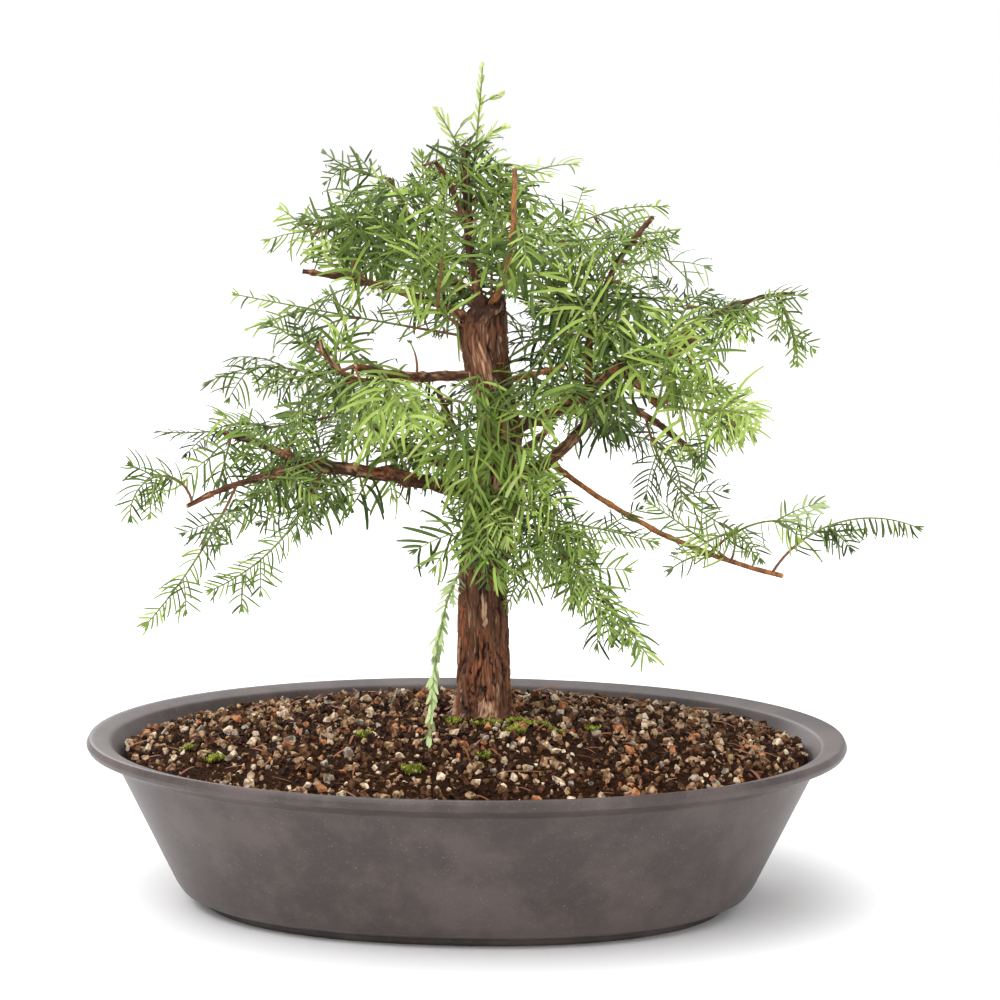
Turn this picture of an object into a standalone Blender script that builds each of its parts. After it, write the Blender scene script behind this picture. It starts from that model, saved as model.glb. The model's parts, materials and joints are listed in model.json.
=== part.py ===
"""A bonsai dawn redwood in an oval pot: trunk, boughs, sprays of needles, gravelly soil and the pot.

Metres, +Z up. X runs to the right and Y away from the viewer in the front view.
The origin is the middle of the pot's flat underside.
"""
import math
import random

import bmesh
import bpy
import numpy as np
from mathutils import Vector
from mathutils.geometry import delaunay_2d_cdt

MM = 0.001
CLEAR = 0.3 * MM

# Pot: half width, half depth, height and squareness of each ring, in mm, from the foot to the inner floor.
POT_SIDES = 56
POT_RINGS = (
    (106.0, 77.5, 0.0, 2.25),
    (106.0, 77.5, 3.0, 2.25),
    (110.0, 81.0, 3.6, 2.25),
    (114.5, 85.0, 5.6, 2.22),
    (117.0, 87.5, 9.2, 2.20),
    (140.6, 107.6, 56.8, 2.08),
    (151.6, 117.2, 61.4, 2.05),
    (152.5, 118.0, 63.4, 2.05),
    (151.2, 116.8, 66.0, 2.05),
    (142.5, 109.0, 63.8, 2.06),
    (138.4, 105.4, 58.0, 2.08),
    (114.2, 84.8, 10.0, 2.20),
    (109.0, 80.5, 7.0, 2.22),
)
# Soil: the same for its solid, which keeps clear of the pot's inside.
SOIL_RINGS = (
    (108.4, 79.9, 7.4, 2.22),
    (113.6, 84.2, 10.2, 2.20),
    (137.6, 104.6, 58.2, 2.08),
    (135.0, 102.0, 60.0, 2.08),
)
MOUND_RISE = 12.0
MOUND_TOP = 19.0
# Larger grains that stand up from the soil: distance between them, width and rise, in mm.
GRAIN_GAP = 15.0
GRAIN_HALF = 3.6
GRAIN_RISE = 2.0
GRAIN_STRAY = 2.2

# Trunk: height, sideways offset and radius of its rings, in mm. It stands a little behind the middle.
TRUNK_SIDES = 18
TRUNK_BACK = 5.0
TRUNK_RINGS = (
    (72.3, 7.5, 12.2),
    (75.5, 7.4, 11.4),
    (81.0, 7.2, 10.8),
    (90.0, 7.0, 10.4),
    (104.0, 6.9, 10.2),
    (119.0, 6.3, 10.0),
    (132.0, 6.3, 9.7),
    (148.0, 8.3, 9.6),
    (164.0, 11.0, 9.5),
    (180.0, 12.9, 8.9),
    (192.0, 12.8, 8.2),
    (202.0, 11.2, 7.9),
    (213.0, 8.6, 8.7),
    (224.0, 6.5, 9.9),
    (231.0, 6.4, 9.6),
    (236.5, 8.6, 7.4),
    (240.0, 10.6, 4.6),
)
FLARE_LOBES = 5
FLARE = 0.13
FLARE_FADE = 9.0
FURROW = 0.035
TOP_SLANT = 0.30

# Boughs: name, what it grows from, the trunk height in mm or the share of that bough's length where it starts,
# heading and rise in degrees, length in mm, turn and lift over that length in degrees, base and tip radius in mm.
# Heading 0 is to the right and 90 away from the viewer.
STEPS = 24
BOUGHS = (
    ("leader_stub", "trunk", 232, 200, 76, 69, 4, 16, 2.4, 2.0),
    ("leader_side_stub", "leader_stub", 0.5, 215, 72, 32, 0, -20, 1.4, 1.1),
    ("upright_shoot", "trunk", 237, 295, 19, 74, -15, 67, 1.4, 1.1),
    ("bough_crown_left", "trunk", 233, 150, 38, 72, -2, 20, 1.8, 1.1),
    ("bough_upper_left", "trunk", 229, 195, 29, 75, -3, -23, 2.0, 1.2),
    ("bough_middle_left", "trunk", 210, 206, -4, 57, 4, 18, 2.5, 1.7),
    ("twig_middle_left", "bough_middle_left", 0.67, 178, -30, 40, 3, 105, 1.1, 1.3),
    ("bough_inner_left", "trunk", 167, 132, 25, 50, 14, 40, 2.0, 1.3),
    ("bough_back_left", "trunk", 173, 164, -8, 79, -17, 57, 2.4, 1.5),
    ("bough_lower_left", "trunk", 160, 192, 17, 75, -2, -11, 3.5, 2.8),
    ("fork_lower_left", "bough_lower_left", 1.0, 175, 25, 36, 1, -12, 2.2, 1.3),
    ("bough_lowest_left", "bough_lower_left", 0.92, 213, 0, 59, -5, -25, 2.0, 1.1),
    ("bough_right", "trunk", 187, 339, 15, 61, 6, 29, 3.1, 2.6),
    ("fork_right_down", "bough_right", 1.0, 318, -45, 26, 0, 17, 2.2, 1.8),
    ("fork_right_out", "bough_right", 1.0, 8, -6, 31, 0, 48, 2.3, 2.1),
    ("bough_back_right", "trunk", 166, 23, 10, 59, 4, 52, 3.2, 2.2),
    ("fork_back_right", "bough_back_right", 1.0, 348, -17, 46, 0, -26, 1.8, 1.3),
    ("shoot_long_right", "bough_back_right", 0.42, 344, -36, 108, -5, 28, 1.3, 1.1),
    ("stub_upper_right", "bough_right", 0.71, 29, 95, 75, -2, -54, 1.7, 1.2),
    ("bough_far_right", "fork_right_out", 0.5, 20, 49, 61, -5, -49, 1.5, 0.8),
    ("stub_inner_right", "trunk", 207, 335, 11, 34, 0, 5, 1.5, 1.0),
    ("bough_back_high", "trunk", 200, 100, 22, 58, 12, 12, 2.2, 1.4),
    ("bough_back_low", "trunk", 172, 66, 8, 62, 10, 14, 2.4, 1.4),
)

# Foliage: name, what its stem grows from, where, heading, rise, length, turn and lift as for a bough,
# then side sprays, length of the longest in mm, needle length in mm,
# how far the sprays face the viewer (0 lies flat, 1 upright), and the bare share of the stem.
FOLIAGE = (
    ("foliage_top", "leader_stub", 0.58, 240, 103, 60, 1, -6, 3, 12, 6, 0.8, 0.12),
    ("foliage_front_high", "bough_inner_left", 0.92, 300, 2, 93, 5, -4, 2, 28, 16, 0.9, 0.20),
    ("foliage_crown_left_tip", "bough_crown_left", 1.0, 172, 4, 28, 0, 32, 2, 14, 8, 0.8, 0.10),
    ("foliage_crown_left", "bough_crown_left", 0.42, 215, 6, 51, 11, 36, 3, 32, 14, 0.7, 0.12),
    ("foliage_upper_left_tip", "bough_upper_left", 0.71, 165, 48, 41, 2, -15, 2, 24, 11, 0.8, 0.12),
    ("foliage_thin_left", "trunk", 224, 172, 8, 102, 3, 2, 2, 20, 8, 0.7, 0.22),
    ("foliage_crown_front", "trunk", 229, 235, -6, 54, -20, 103, 2, 30, 16, 0.6, 0.28),
    ("foliage_crown_middle", "bough_crown_left", 0.54, 230, 85, 35, 0, 1, 3, 24, 10, 0.6, 0.15),
    ("foliage_shoot_tip", "upright_shoot", 1.0, 340, -3, 13, 0, -11, 2, 22, 10, 0.6, 0.10),
    ("foliage_upper_right", "trunk", 235, 24, 60, 90, 6, -64, 3, 36, 12, 0.5, 0.26),
    ("foliage_stub_right", "stub_upper_right", 0.83, 335, -16, 27, 0, -28, 2, 20, 12, 0.6, 0.12),
    ("foliage_dark_right", "bough_far_right", 0.12, 59, 80, 30, -11, -72, 3, 26, 10, 0.5, 0.15),
    ("foliage_far_right", "bough_far_right", 0.88, 340, -52, 28, 2, -37, 2, 12, 7, 1.0, 0.10),
    ("foliage_behind_right", "stub_upper_right", 0.29, 140, -2, 43, -1, -12, 3, 30, 16, 0.7, 0.15),
    ("foliage_front_right", "bough_back_right", 0.83, 262, 74, 36, -30, -112, 2, 34, 14, 0.7, 0.15),
    ("foliage_right_end", "fork_right_out", 0.83, 335, -70, 38, -1, 24, 2, 20, 12, 0.9, 0.10),
    ("foliage_right_low", "fork_right_down", 1.0, 335, 2, 41, -11, -21, 2, 18, 13, 0.8, 0.08),
    ("foliage_sparse_right", "fork_back_right", 0.42, 320, -74, 54, 29, 46, 2, 22, 11, 0.8, 0.15),
    ("foliage_long_tip", "shoot_long_right", 0.96, 2, 60, 63, -4, -81, 1, 14, 10, 0.8, 0.20),
    ("foliage_long_loop", "shoot_long_right", 0.71, 333, 47, 56, -23, -62, 2, 24, 10, 0.6, 0.20),
    ("foliage_low_right", "trunk", 161, 313, -17, 106, 5, -24, 3, 26, 12, 0.8, 0.24),
    ("foliage_flat_right", "trunk", 155, 349, -3, 67, 2, -10, 2, 24, 9, 0.7, 0.30),
    ("foliage_low_left", "trunk", 134, 261, 15, 128, 10, -78, 0, 0, 7, 0.9, 0.30),
    ("foliage_front", "trunk", 168, 262, -39, 42, -6, 7, 4, 38, 13, 0.9, 0.36),
    ("foliage_middle_left", "bough_back_left", 1.0, 178, 35, 58, 11, -61, 3, 34, 12, 0.6, 0.10),
    ("foliage_outer_left", "bough_back_left", 0.88, 200, -13, 81, -4, 16, 3, 30, 10, 0.6, 0.15),
    ("foliage_fork_left", "fork_lower_left", 0.92, 200, -77, 19, 0, 6, 2, 24, 12, 0.9, 0.15),
    ("foliage_lowest_tip", "bough_lowest_left", 0.96, 218, 80, 42, 12, -170, 1, 12, 10, 1.0, 0.34),
    ("foliage_lowest_left", "bough_lowest_left", 0.62, 208, -64, 64, 0, 18, 2, 18, 10, 0.9, 0.12),
    ("foliage_lower_left", "bough_lower_left", 0.92, 215, -69, 68, -3, 50, 2, 18, 10, 0.9, 0.15),
    ("foliage_back_top", "trunk", 228, 105, 32, 62, 10, -50, 3, 36, 13, 0.3, 0.25),
    ("foliage_back_high", "bough_back_high", 1.0, 112, 20, 44, 10, -60, 3, 36, 13, 0.3, 0.10),
    ("foliage_back_right", "bough_back_low", 1.0, 66, 10, 46, -10, -60, 3, 36, 13, 0.3, 0.10),
    ("foliage_back_low", "bough_back_low", 0.42, 120, -6, 66, 8, -30, 3, 34, 13, 0.3, 0.15),
)
STEM_BASE = 1.1
STEM_TIP = 0.55
TOOTH_PITCH = 14.0
RACHIS_HALF = 0.75
BLADE_THICK = 0.7
NEEDLE_SLANT = 33.0
NEEDLE_DROOP = 0.12
SIDE_ANGLE = 52.0
SEED = 41

COLLECTION = "dawn_redwood_bonsai"
POT_COLOR = (0.105, 0.082, 0.078)
SOIL_COLOR = (0.115, 0.075, 0.050)
BARK_COLOR = (0.150, 0.075, 0.045)
BOUGH_COLOR = (0.165, 0.068, 0.036)
SHOOT_COLOR = (0.360, 0.130, 0.040)
FOLIAGE_COLOR = (0.090, 0.215, 0.040)


def clear_scene():
    for thing in list(bpy.data.objects):
        bpy.data.objects.remove(thing, do_unlink=True)


def make_collection(name):
    home = bpy.data.collections.new(name)
    bpy.context.scene.collection.children.link(home)
    return home


def make_material(name, color, roughness):
    material = bpy.data.materials.new(name)
    material.use_nodes = True
    shader = material.node_tree.nodes["Principled BSDF"]
    shader.inputs["Base Color"].default_value = (*color, 1.0)
    shader.inputs["Roughness"].default_value = roughness
    shader.inputs["Metallic"].default_value = 0.0
    material.diffuse_color = (*color, 1.0)
    return material


def add_object(name, mesh, home):
    thing = bpy.data.objects.new(name, mesh)
    home.objects.link(thing)
    return thing


def loft(name, rings, home):
    """Skins rings of equal point count and closes both ends."""
    bm = bmesh.new()
    levels = [[bm.verts.new(point) for point in ring] for ring in rings]
    count = len(rings[0])
    for low, high in zip(levels[:-1], levels[1:]):
        for i in range(count):
            j = (i + 1) % count
            bm.faces.new((low[i], low[j], high[j], high[i]))
    bm.faces.new(tuple(reversed(levels[0])))
    bm.faces.new(tuple(levels[-1]))
    bmesh.ops.recalc_face_normals(bm, faces=bm.faces[:])
    mesh = bpy.data.meshes.new(name)
    bm.to_mesh(mesh)
    bm.free()
    return add_object(name, mesh, home)


def oval(half_width, half_depth, height, square, middle=(0.0, 0.0)):
    """One ring of the pot or the soil, a rounded oval, sizes in mm."""
    ring = []
    for i in range(POT_SIDES):
        angle = 2.0 * math.pi * i / POT_SIDES
        c, s = math.cos(angle), math.sin(angle)
        x = math.copysign(abs(c) ** (2.0 / square), c) * half_width
        y = math.copysign(abs(s) ** (2.0 / square), s) * half_depth
        ring.append(Vector((x + middle[0], y + middle[1], height)) * MM)
    return ring


def build_pot(home):
    return loft("pot", [oval(*row) for row in POT_RINGS], home)


def mound_height(x, y):
    """How far in from the soil's edge a point lies, from 0 to 1 at the trunk's seat, and its height in mm."""
    half_width, half_depth, edge, square = SOIL_RINGS[-1]
    low, high = 0.0, 1.0
    for _ in range(20):
        share = 0.5 * (low + high)
        across = abs(x - TRUNK_RINGS[0][1] * share) / (half_width + (MOUND_TOP - half_width) * share)
        back = abs(y - TRUNK_BACK * share) / (half_depth + (MOUND_TOP - half_depth) * share)
        if across**square + back**square > 1.0:
            high = share
        else:
            low = share
    return share, edge + MOUND_RISE * (1.0 - (1.0 - share) ** 2)


def grit_points():
    """Three corners for each large grain, set out in staggered rows, and low points between the grains."""
    draw = random.Random(SEED)
    half_width, half_depth = SOIL_RINGS[-1][:2]
    row_gap = GRAIN_GAP * math.sin(math.radians(60.0))
    points = []
    for row in range(-int(half_depth / row_gap), int(half_depth / row_gap) + 1):
        for column in range(-int(half_width / GRAIN_GAP) - 1, int(half_width / GRAIN_GAP) + 2):
            x = (column + 0.5 * (row % 2)) * GRAIN_GAP + draw.uniform(-GRAIN_STRAY, GRAIN_STRAY)
            y = row * row_gap + draw.uniform(-GRAIN_STRAY, GRAIN_STRAY)
            turn = draw.uniform(0.0, 120.0)
            rise = GRAIN_RISE * draw.uniform(0.8, 1.2)
            for corner in range(3):
                angle = math.radians(turn + 120.0 * corner)
                reach = GRAIN_HALF * draw.uniform(0.8, 1.2)
                points.append((x + reach * math.cos(angle), y + reach * math.sin(angle), rise))
            for hand in (-1.0, 1.0):
                points.append((x, y + hand * row_gap * 2.0 / 3.0, 0.0))
    kept = []
    for x, y, rise in points:
        share, height = mound_height(x, y)
        if 0.035 < share < 0.95:
            kept.append(Vector((x, y, height + rise)) * MM)
    return kept


def build_soil(home):
    """The soil's edge lies below the rim. It rises in grains to a flat seat for the trunk."""
    square = SOIL_RINGS[-1][3]
    seat_height = SOIL_RINGS[-1][2] + MOUND_RISE
    soil = loft("soil", [oval(*row) for row in SOIL_RINGS], home)
    seat = oval(MOUND_TOP, MOUND_TOP, seat_height, square, (TRUNK_RINGS[0][1], TRUNK_BACK))[::2]
    bm = bmesh.new()
    bm.from_mesh(soil.data)
    bm.verts.ensure_lookup_table()
    bmesh.ops.delete(bm, geom=[max(bm.faces, key=lambda face: face.calc_center_median().z)], context="FACES_ONLY")
    corners = bm.verts[-POT_SIDES:] + [bm.verts.new(point) for point in seat + grit_points()]
    flat = [vert.co.xy / MM for vert in corners]
    _, _, triangles, sources, _, _ = delaunay_2d_cdt(flat, [], [], 0, 0.001)
    for triangle in triangles:
        bm.faces.new([corners[sources[index][0]] for index in triangle])
    bmesh.ops.recalc_face_normals(bm, faces=bm.faces[:])
    bm.to_mesh(soil.data)
    bm.free()
    return soil


def trunk_ring(height, offset, radius, grow, lift):
    """One furrowed ring of the trunk, wider in lobes where the roots flare."""
    low = TRUNK_RINGS[0][0]
    top = TRUNK_RINGS[-3][0]
    flare = FLARE * math.exp(-(height - low) / FLARE_FADE)
    slant = TOP_SLANT if height > top else 0.0
    ring = []
    for i in range(TRUNK_SIDES):
        angle = 2.0 * math.pi * i / TRUNK_SIDES
        lobes = flare * math.cos(FLARE_LOBES * angle + 0.8)
        furrow = FURROW * math.sin(7.0 * angle + 0.05 * height) + 0.6 * FURROW * math.sin(3.0 * angle - 0.03 * height)
        r = radius * (1.0 + lobes + furrow) + grow
        x, y = r * math.cos(angle), r * math.sin(angle)
        ring.append(Vector((offset + x, TRUNK_BACK + y, height + lift + slant * x)) * MM)
    return ring


def build_trunk(name, home, grow=0.0):
    rings = []
    for index, (height, offset, radius) in enumerate(TRUNK_RINGS):
        lift = 0.0
        if index == 0:
            lift = -grow
        elif index == len(TRUNK_RINGS) - 1:
            lift = grow
        rings.append(trunk_ring(height, offset, radius, grow, lift))
    return loft(name, rings, home)


def grow_path(start, heading, rise, length, turn, lift, steps=STEPS):
    """Points of a limb that sets out at a heading and a rise and bends evenly. Length in metres."""
    middle = (np.arange(steps) + 0.5) / steps
    flat = np.radians(heading + turn * middle)
    up = np.radians(rise + lift * middle)
    step = np.stack([np.cos(up) * np.cos(flat), np.cos(up) * np.sin(flat), np.sin(up)], axis=-1)
    walked = np.cumsum(step * length / steps, axis=0)
    return np.concatenate([[start], np.asarray(start) + walked])


def trunk_point(height):
    heights = [row[0] for row in TRUNK_RINGS]
    offset = np.interp(height, heights, [row[1] for row in TRUNK_RINGS])
    return np.array([offset, TRUNK_BACK, height]) * MM


def path_point(path, share):
    return path[int(round(share * (len(path) - 1)))]


def apply_modifiers(thing, merge=0.0):
    """Bakes an object's curve or modifiers into a plain mesh of its own."""
    graph = bpy.context.evaluated_depsgraph_get()
    mesh = bpy.data.meshes.new_from_object(thing.evaluated_get(graph))
    if merge > 0.0:
        bm = bmesh.new()
        bm.from_mesh(mesh)
        bmesh.ops.remove_doubles(bm, verts=bm.verts[:], dist=merge)
        bm.to_mesh(mesh)
        bm.free()
    return mesh


def is_closed(mesh):
    bm = bmesh.new()
    bm.from_mesh(mesh)
    closed = len(bm.faces) > 3 and all(len(edge.link_faces) == 2 for edge in bm.edges)
    bm.free()
    return closed


def tube(name, path, radii, sides, home):
    """A tapering limb along a path, with flat ends."""
    data = bpy.data.curves.new(name, "CURVE")
    data.dimensions = "3D"
    data.bevel_depth = 1.0
    data.bevel_resolution = sides
    data.use_fill_caps = True
    spline = data.splines.new("POLY")
    spline.points.add(len(path) - 1)
    for point, place, radius in zip(spline.points, path, radii):
        point.co = (*place, 1.0)
        point.radius = radius
    source = bpy.data.objects.new(name + "_curve", data)
    home.objects.link(source)
    bpy.context.view_layer.update()
    mesh = apply_modifiers(source, merge=0.00001)
    bpy.data.objects.remove(source, do_unlink=True)
    return add_object(name, mesh, home)


def largest_shell(mesh):
    """Keeps the biggest closed shell of a mesh. Scraps and sealed hollows go."""
    bm = bmesh.new()
    bm.from_mesh(mesh)
    unseen = set(bm.verts)
    shells = []
    while unseen:
        queue = [unseen.pop()]
        shell = set(queue)
        while queue:
            for edge in queue.pop().link_edges:
                for vert in edge.verts:
                    if vert in unseen:
                        unseen.discard(vert)
                        shell.add(vert)
                        queue.append(vert)
        shells.append(shell)
    shells.sort(key=lambda shell: shell_size(shell), reverse=True)
    for shell in shells[1:]:
        bmesh.ops.delete(bm, geom=list(shell), context="VERTS")
    bmesh.ops.triangulate(bm, faces=[face for face in bm.faces if len(face.verts) > 4])
    bm.to_mesh(mesh)
    bm.free()


def shell_size(shell):
    low = [min(vert.co[i] for vert in shell) for i in range(3)]
    high = [max(vert.co[i] for vert in shell) for i in range(3)]
    return sum(b - a for a, b in zip(low, high))


def combine(thing, tools, operation):
    """Joins an object with a whole collection, or cuts it by each tool, and keeps the first closed result."""
    for solver in ("MANIFOLD", "EXACT"):
        if operation == "UNION":
            modifier = thing.modifiers.new("join", "BOOLEAN")
            modifier.operand_type = "COLLECTION"
            modifier.collection = tools
            modifier.operation = operation
            modifier.solver = solver
        else:
            for tool in tools:
                modifier = thing.modifiers.new("cut", "BOOLEAN")
                modifier.object = tool
                modifier.operation = operation
                modifier.solver = solver
        bpy.context.view_layer.update()
        mesh = apply_modifiers(thing)
        thing.modifiers.clear()
        largest_shell(mesh)
        if is_closed(mesh):
            break
    else:
        print("open result", thing.name, operation)
    old = thing.data
    thing.data = mesh
    mesh.name = thing.name
    bpy.data.meshes.remove(old)


def near(box_a, box_b, margin):
    return all(box_a[0][i] - margin < box_b[1][i] and box_b[0][i] - margin < box_a[1][i] for i in range(3))


def mesh_box(mesh):
    count = len(mesh.vertices)
    flat = np.empty(count * 3)
    mesh.vertices.foreach_get("co", flat)
    points = flat.reshape(-1, 3)
    return points.min(axis=0), points.max(axis=0)


def line_distance(points, line, radii):
    """Least distance from each point to a tapering limb's surface."""
    start, step = line[:-1], line[1:] - line[:-1]
    away = points[:, None, :] - start[None]
    share = np.clip((away * step).sum(-1) / (step * step).sum(-1), 0.0, 1.0)
    gap = np.linalg.norm(away - share[..., None] * step, axis=-1)
    gap = gap - radii[:-1] * (1.0 - share) - radii[1:] * share
    return gap.min(axis=1)


class Limb:
    """A trunk, bough or stem: its path, its radius along it, and the cutter that keeps others clear of it."""

    def __init__(self, name, path, radii):
        self.name = name
        self.path = path
        self.radii = radii
        self.cutter = None
        self.box = None

    def set_cutter(self, cutter):
        cutter.hide_render = True
        cutter.display_type = "WIRE"
        self.cutter = cutter
        self.box = mesh_box(cutter.data)


def extend(path, amount):
    """The same path with both ends a little longer."""
    first = path[0] - (path[1] - path[0]) / np.linalg.norm(path[1] - path[0]) * amount
    last = path[-1] + (path[-1] - path[-2]) / np.linalg.norm(path[-1] - path[-2]) * amount
    return np.concatenate([[first], path[1:-1], [last]])


def build_limbs(home, tools):
    """The trunk and the boughs, each cut 0.3 mm clear of those before it."""
    heights = np.array([row[0] for row in TRUNK_RINGS])
    line = np.array([trunk_point(height) for height in heights])
    widths = np.array([row[2] for row in TRUNK_RINGS]) * MM * (1.0 + FURROW + FLARE * 0.5)
    trunk = Limb("trunk", line, widths)
    build_trunk("trunk", home)
    trunk.set_cutter(build_trunk("trunk_cutter", tools, grow=CLEAR / MM))
    limbs = {"trunk": trunk}
    for name, parent, where, heading, rise, length, turn, lift, base, tip in BOUGHS:
        start = trunk_point(where) if parent == "trunk" else path_point(limbs[parent].path, where)
        path = grow_path(start, heading, rise, length * MM, turn, lift)
        radii = np.linspace(base, tip, STEPS + 1) * MM
        every = slice(None, None, 3)
        sides = 2 if base > 2.8 else 1
        bough = tube(name, path[every], radii[every], sides, home)
        box = mesh_box(bough.data)
        cutters = [limb.cutter for limb in limbs.values() if near(box, limb.box, 0.0)]
        combine(bough, cutters, "DIFFERENCE")
        limb = Limb(name, path, radii)
        wider = extend(path[every], CLEAR)
        limb.set_cutter(tube(name + "_cutter", wider, radii[every] + CLEAR, sides, tools))
        limbs[name] = limb
    return limbs


class Spray:
    """One mass of foliage: its stem, its side sprays, and which way they face."""

    def __init__(self, row, limbs, number):
        name, parent, where, heading, rise, length, turn, lift, sides, reach, needle, face, bare = row
        self.name = name
        self.needle = needle * MM
        self.bare = bare
        self.normal = np.array([0.0, -face, 1.0 - face + 0.15])
        if parent.startswith("bough_back_") or name.startswith("foliage_back"):
            self.normal = np.array([0.0, face, 1.0])
        holder = limbs[parent]
        start = trunk_point(where) if parent == "trunk" else path_point(holder.path, where)
        self.holder = holder
        stem = grow_path(start, heading, rise, length * MM, turn, lift)
        outside = line_distance(stem, holder.path, holder.radii) > 0.0
        self.first = int(np.argmax(outside)) if outside.any() else 0
        self.lines = [stem]
        self.starts = [bare]
        self.draw = random.Random(SEED + number)
        self.plan_sides(stem, sides, reach * MM)

    def frame(self, path, index):
        """Direction along the path, and the side that the spray spreads to."""
        low, high = max(index - 1, 0), min(index + 1, len(path) - 1)
        along = path[high] - path[low]
        along = along / np.linalg.norm(along)
        side = np.cross(along, self.normal)
        side = side / max(np.linalg.norm(side), 1e-9)
        return along, side

    def plan_sides(self, stem, count, reach):
        """Side sprays leave the stem left and right in turn and get shorter towards its tip."""
        for i in range(count):
            share = self.bare + (0.9 - self.bare) * (i + 0.35) / count
            index = int(round(share * STEPS))
            along, side = self.frame(stem, index)
            angle = math.radians(SIDE_ANGLE + self.draw.uniform(-9.0, 9.0))
            hand = 1.0 if i % 2 == 0 else -1.0
            way = along * math.cos(angle) + side * hand * math.sin(angle)
            length = reach * (1.0 - 0.45 * share) * self.draw.uniform(0.85, 1.05)
            heading = math.degrees(math.atan2(way[1], way[0]))
            rise = math.degrees(math.asin(max(-1.0, min(1.0, way[2]))))
            turn = self.draw.uniform(-14.0, 14.0)
            lift = self.draw.uniform(-34.0, -12.0)
            self.lines.append(grow_path(stem[index], heading, rise, length, turn, lift, STEPS // 2))
            self.starts.append(0.12)


def trim(sprays, limbs):
    """Shortens a stem or side spray where it would leave its space or touch a limb, and skips short ones."""
    kept = []
    for spray in sprays:
        lines, starts = [], []
        for number, line in enumerate(spray.lines):
            begin = spray.first if number == 0 else 1
            end = len(line)
            free = line[begin:]
            for limb in limbs.values():
                margin = 1.6 * MM
                gap = line_distance(free, limb.path, limb.radii)
                touch = gap < margin
                if number == 0 and limb is spray.holder:
                    touch[:6] = False
                if touch.any():
                    end = min(end, begin + int(np.argmax(touch)))
            for other in kept:
                for rival in other.lines:
                    gap = line_distance(free, rival, np.zeros(len(rival)))
                    touch = gap < 3.0 * MM
                    if touch.any():
                        end = min(end, begin + int(np.argmax(touch)))
            short = 6 if number == 0 else 5
            if end - begin < short:
                if number == 0:
                    print("short stem", spray.name, end, begin)
                else:
                    continue
            lines.append(line[:end])
            starts.append(spray.starts[number])
        spray.lines, spray.starts = lines, starts
        kept.append(spray)


def in_space(points, spray, sprays, limbs):
    """Whether a needle keeps to its own mass's space and clear of every limb."""
    own = min(line_distance(points, line, np.zeros(len(line))).max() for line in spray.lines)
    for limb in limbs.values():
        if line_distance(points, limb.path, limb.radii).min() < 1.1 * MM:
            return False
    for other in sprays:
        if other is spray:
            continue
        for line in other.lines:
            gap = line_distance(points, line, np.zeros(len(line)))
            mine = np.min([line_distance(points, own_line, np.zeros(len(own_line))) for own_line in spray.lines], axis=0)
            if (gap < mine + 1.2 * MM).any() or (gap < 2.0 * MM).any():
                return False
    return own >= 0.0


def blade(name, spray, path, start_share, sprays, limbs, home):
    """A toothed blade: a thin rib with slanting needles in two rows, given thickness by Solidify."""
    steps = np.linalg.norm(np.diff(path, axis=0), axis=1)
    walked = np.concatenate([[0.0], np.cumsum(steps)])
    whole = walked[-1]
    begin = whole * start_share
    count = max(2, int(round((whole - begin) / (TOOTH_PITCH * MM))))
    places = np.linspace(begin, whole - 1.5 * MM, count + 1)
    slant = math.radians(NEEDLE_SLANT)
    bm = bmesh.new()
    edges = []
    frames = []
    for place in places:
        point = np.array([np.interp(place, walked, path[:, i]) for i in range(3)])
        index = int(np.searchsorted(walked, place))
        along, side = spray.frame(path, min(max(index, 1), len(path) - 1))
        frames.append((point, along, side))
        half = RACHIS_HALF * MM
        edges.append((bm.verts.new(point - side * half), bm.verts.new(point + side * half)))
    for j in range(count):
        low, high = edges[j], edges[j + 1]
        bm.faces.new((low[0], low[1], high[1], high[0]))
        point = (frames[j][0] + frames[j + 1][0]) / 2.0
        along = frames[j][1]
        side = frames[j][2]
        normal = np.cross(side, along)
        share = (j + 0.5) / count
        reach = spray.needle * (0.72 + 0.28 * math.sin(math.pi * min(1.0, share + 0.2)))
        for hand in (-1.0, 1.0):
            length = reach * spray.draw.uniform(0.88, 1.08)
            tip = point + side * hand * length * math.cos(slant) + along * length * math.sin(slant)
            tip = tip - np.sign(normal[2] + 1e-9) * normal * length * NEEDLE_DROOP
            tests = np.array([point + (tip - point) * f for f in (0.35, 0.6, 0.8, 1.0)])
            roots = np.array([frames[j][0], frames[j + 1][0]])
            if not in_space(np.concatenate([tests, roots]), spray, sprays, limbs):
                continue
            top = bm.verts.new(tip)
            if hand < 0.0:
                bm.faces.new((low[0], high[0], top))
            else:
                bm.faces.new((high[1], low[1], top))
    point, along, side = frames[-1]
    end = point + along * spray.needle * 0.55
    if in_space(np.array([end, point]), spray, sprays, limbs):
        bm.faces.new((edges[-1][0], edges[-1][1], bm.verts.new(end)))
    bmesh.ops.recalc_face_normals(bm, faces=bm.faces[:])
    mesh = bpy.data.meshes.new(name)
    bm.to_mesh(mesh)
    bm.free()
    sheet = add_object(name, mesh, home)
    solid = sheet.modifiers.new("thickness", "SOLIDIFY")
    solid.thickness = BLADE_THICK * MM
    solid.offset = 0.0
    bpy.context.view_layer.update()
    thick = apply_modifiers(sheet)
    sheet.modifiers.clear()
    sheet.data = thick
    bpy.data.meshes.remove(mesh)
    return sheet


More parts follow.
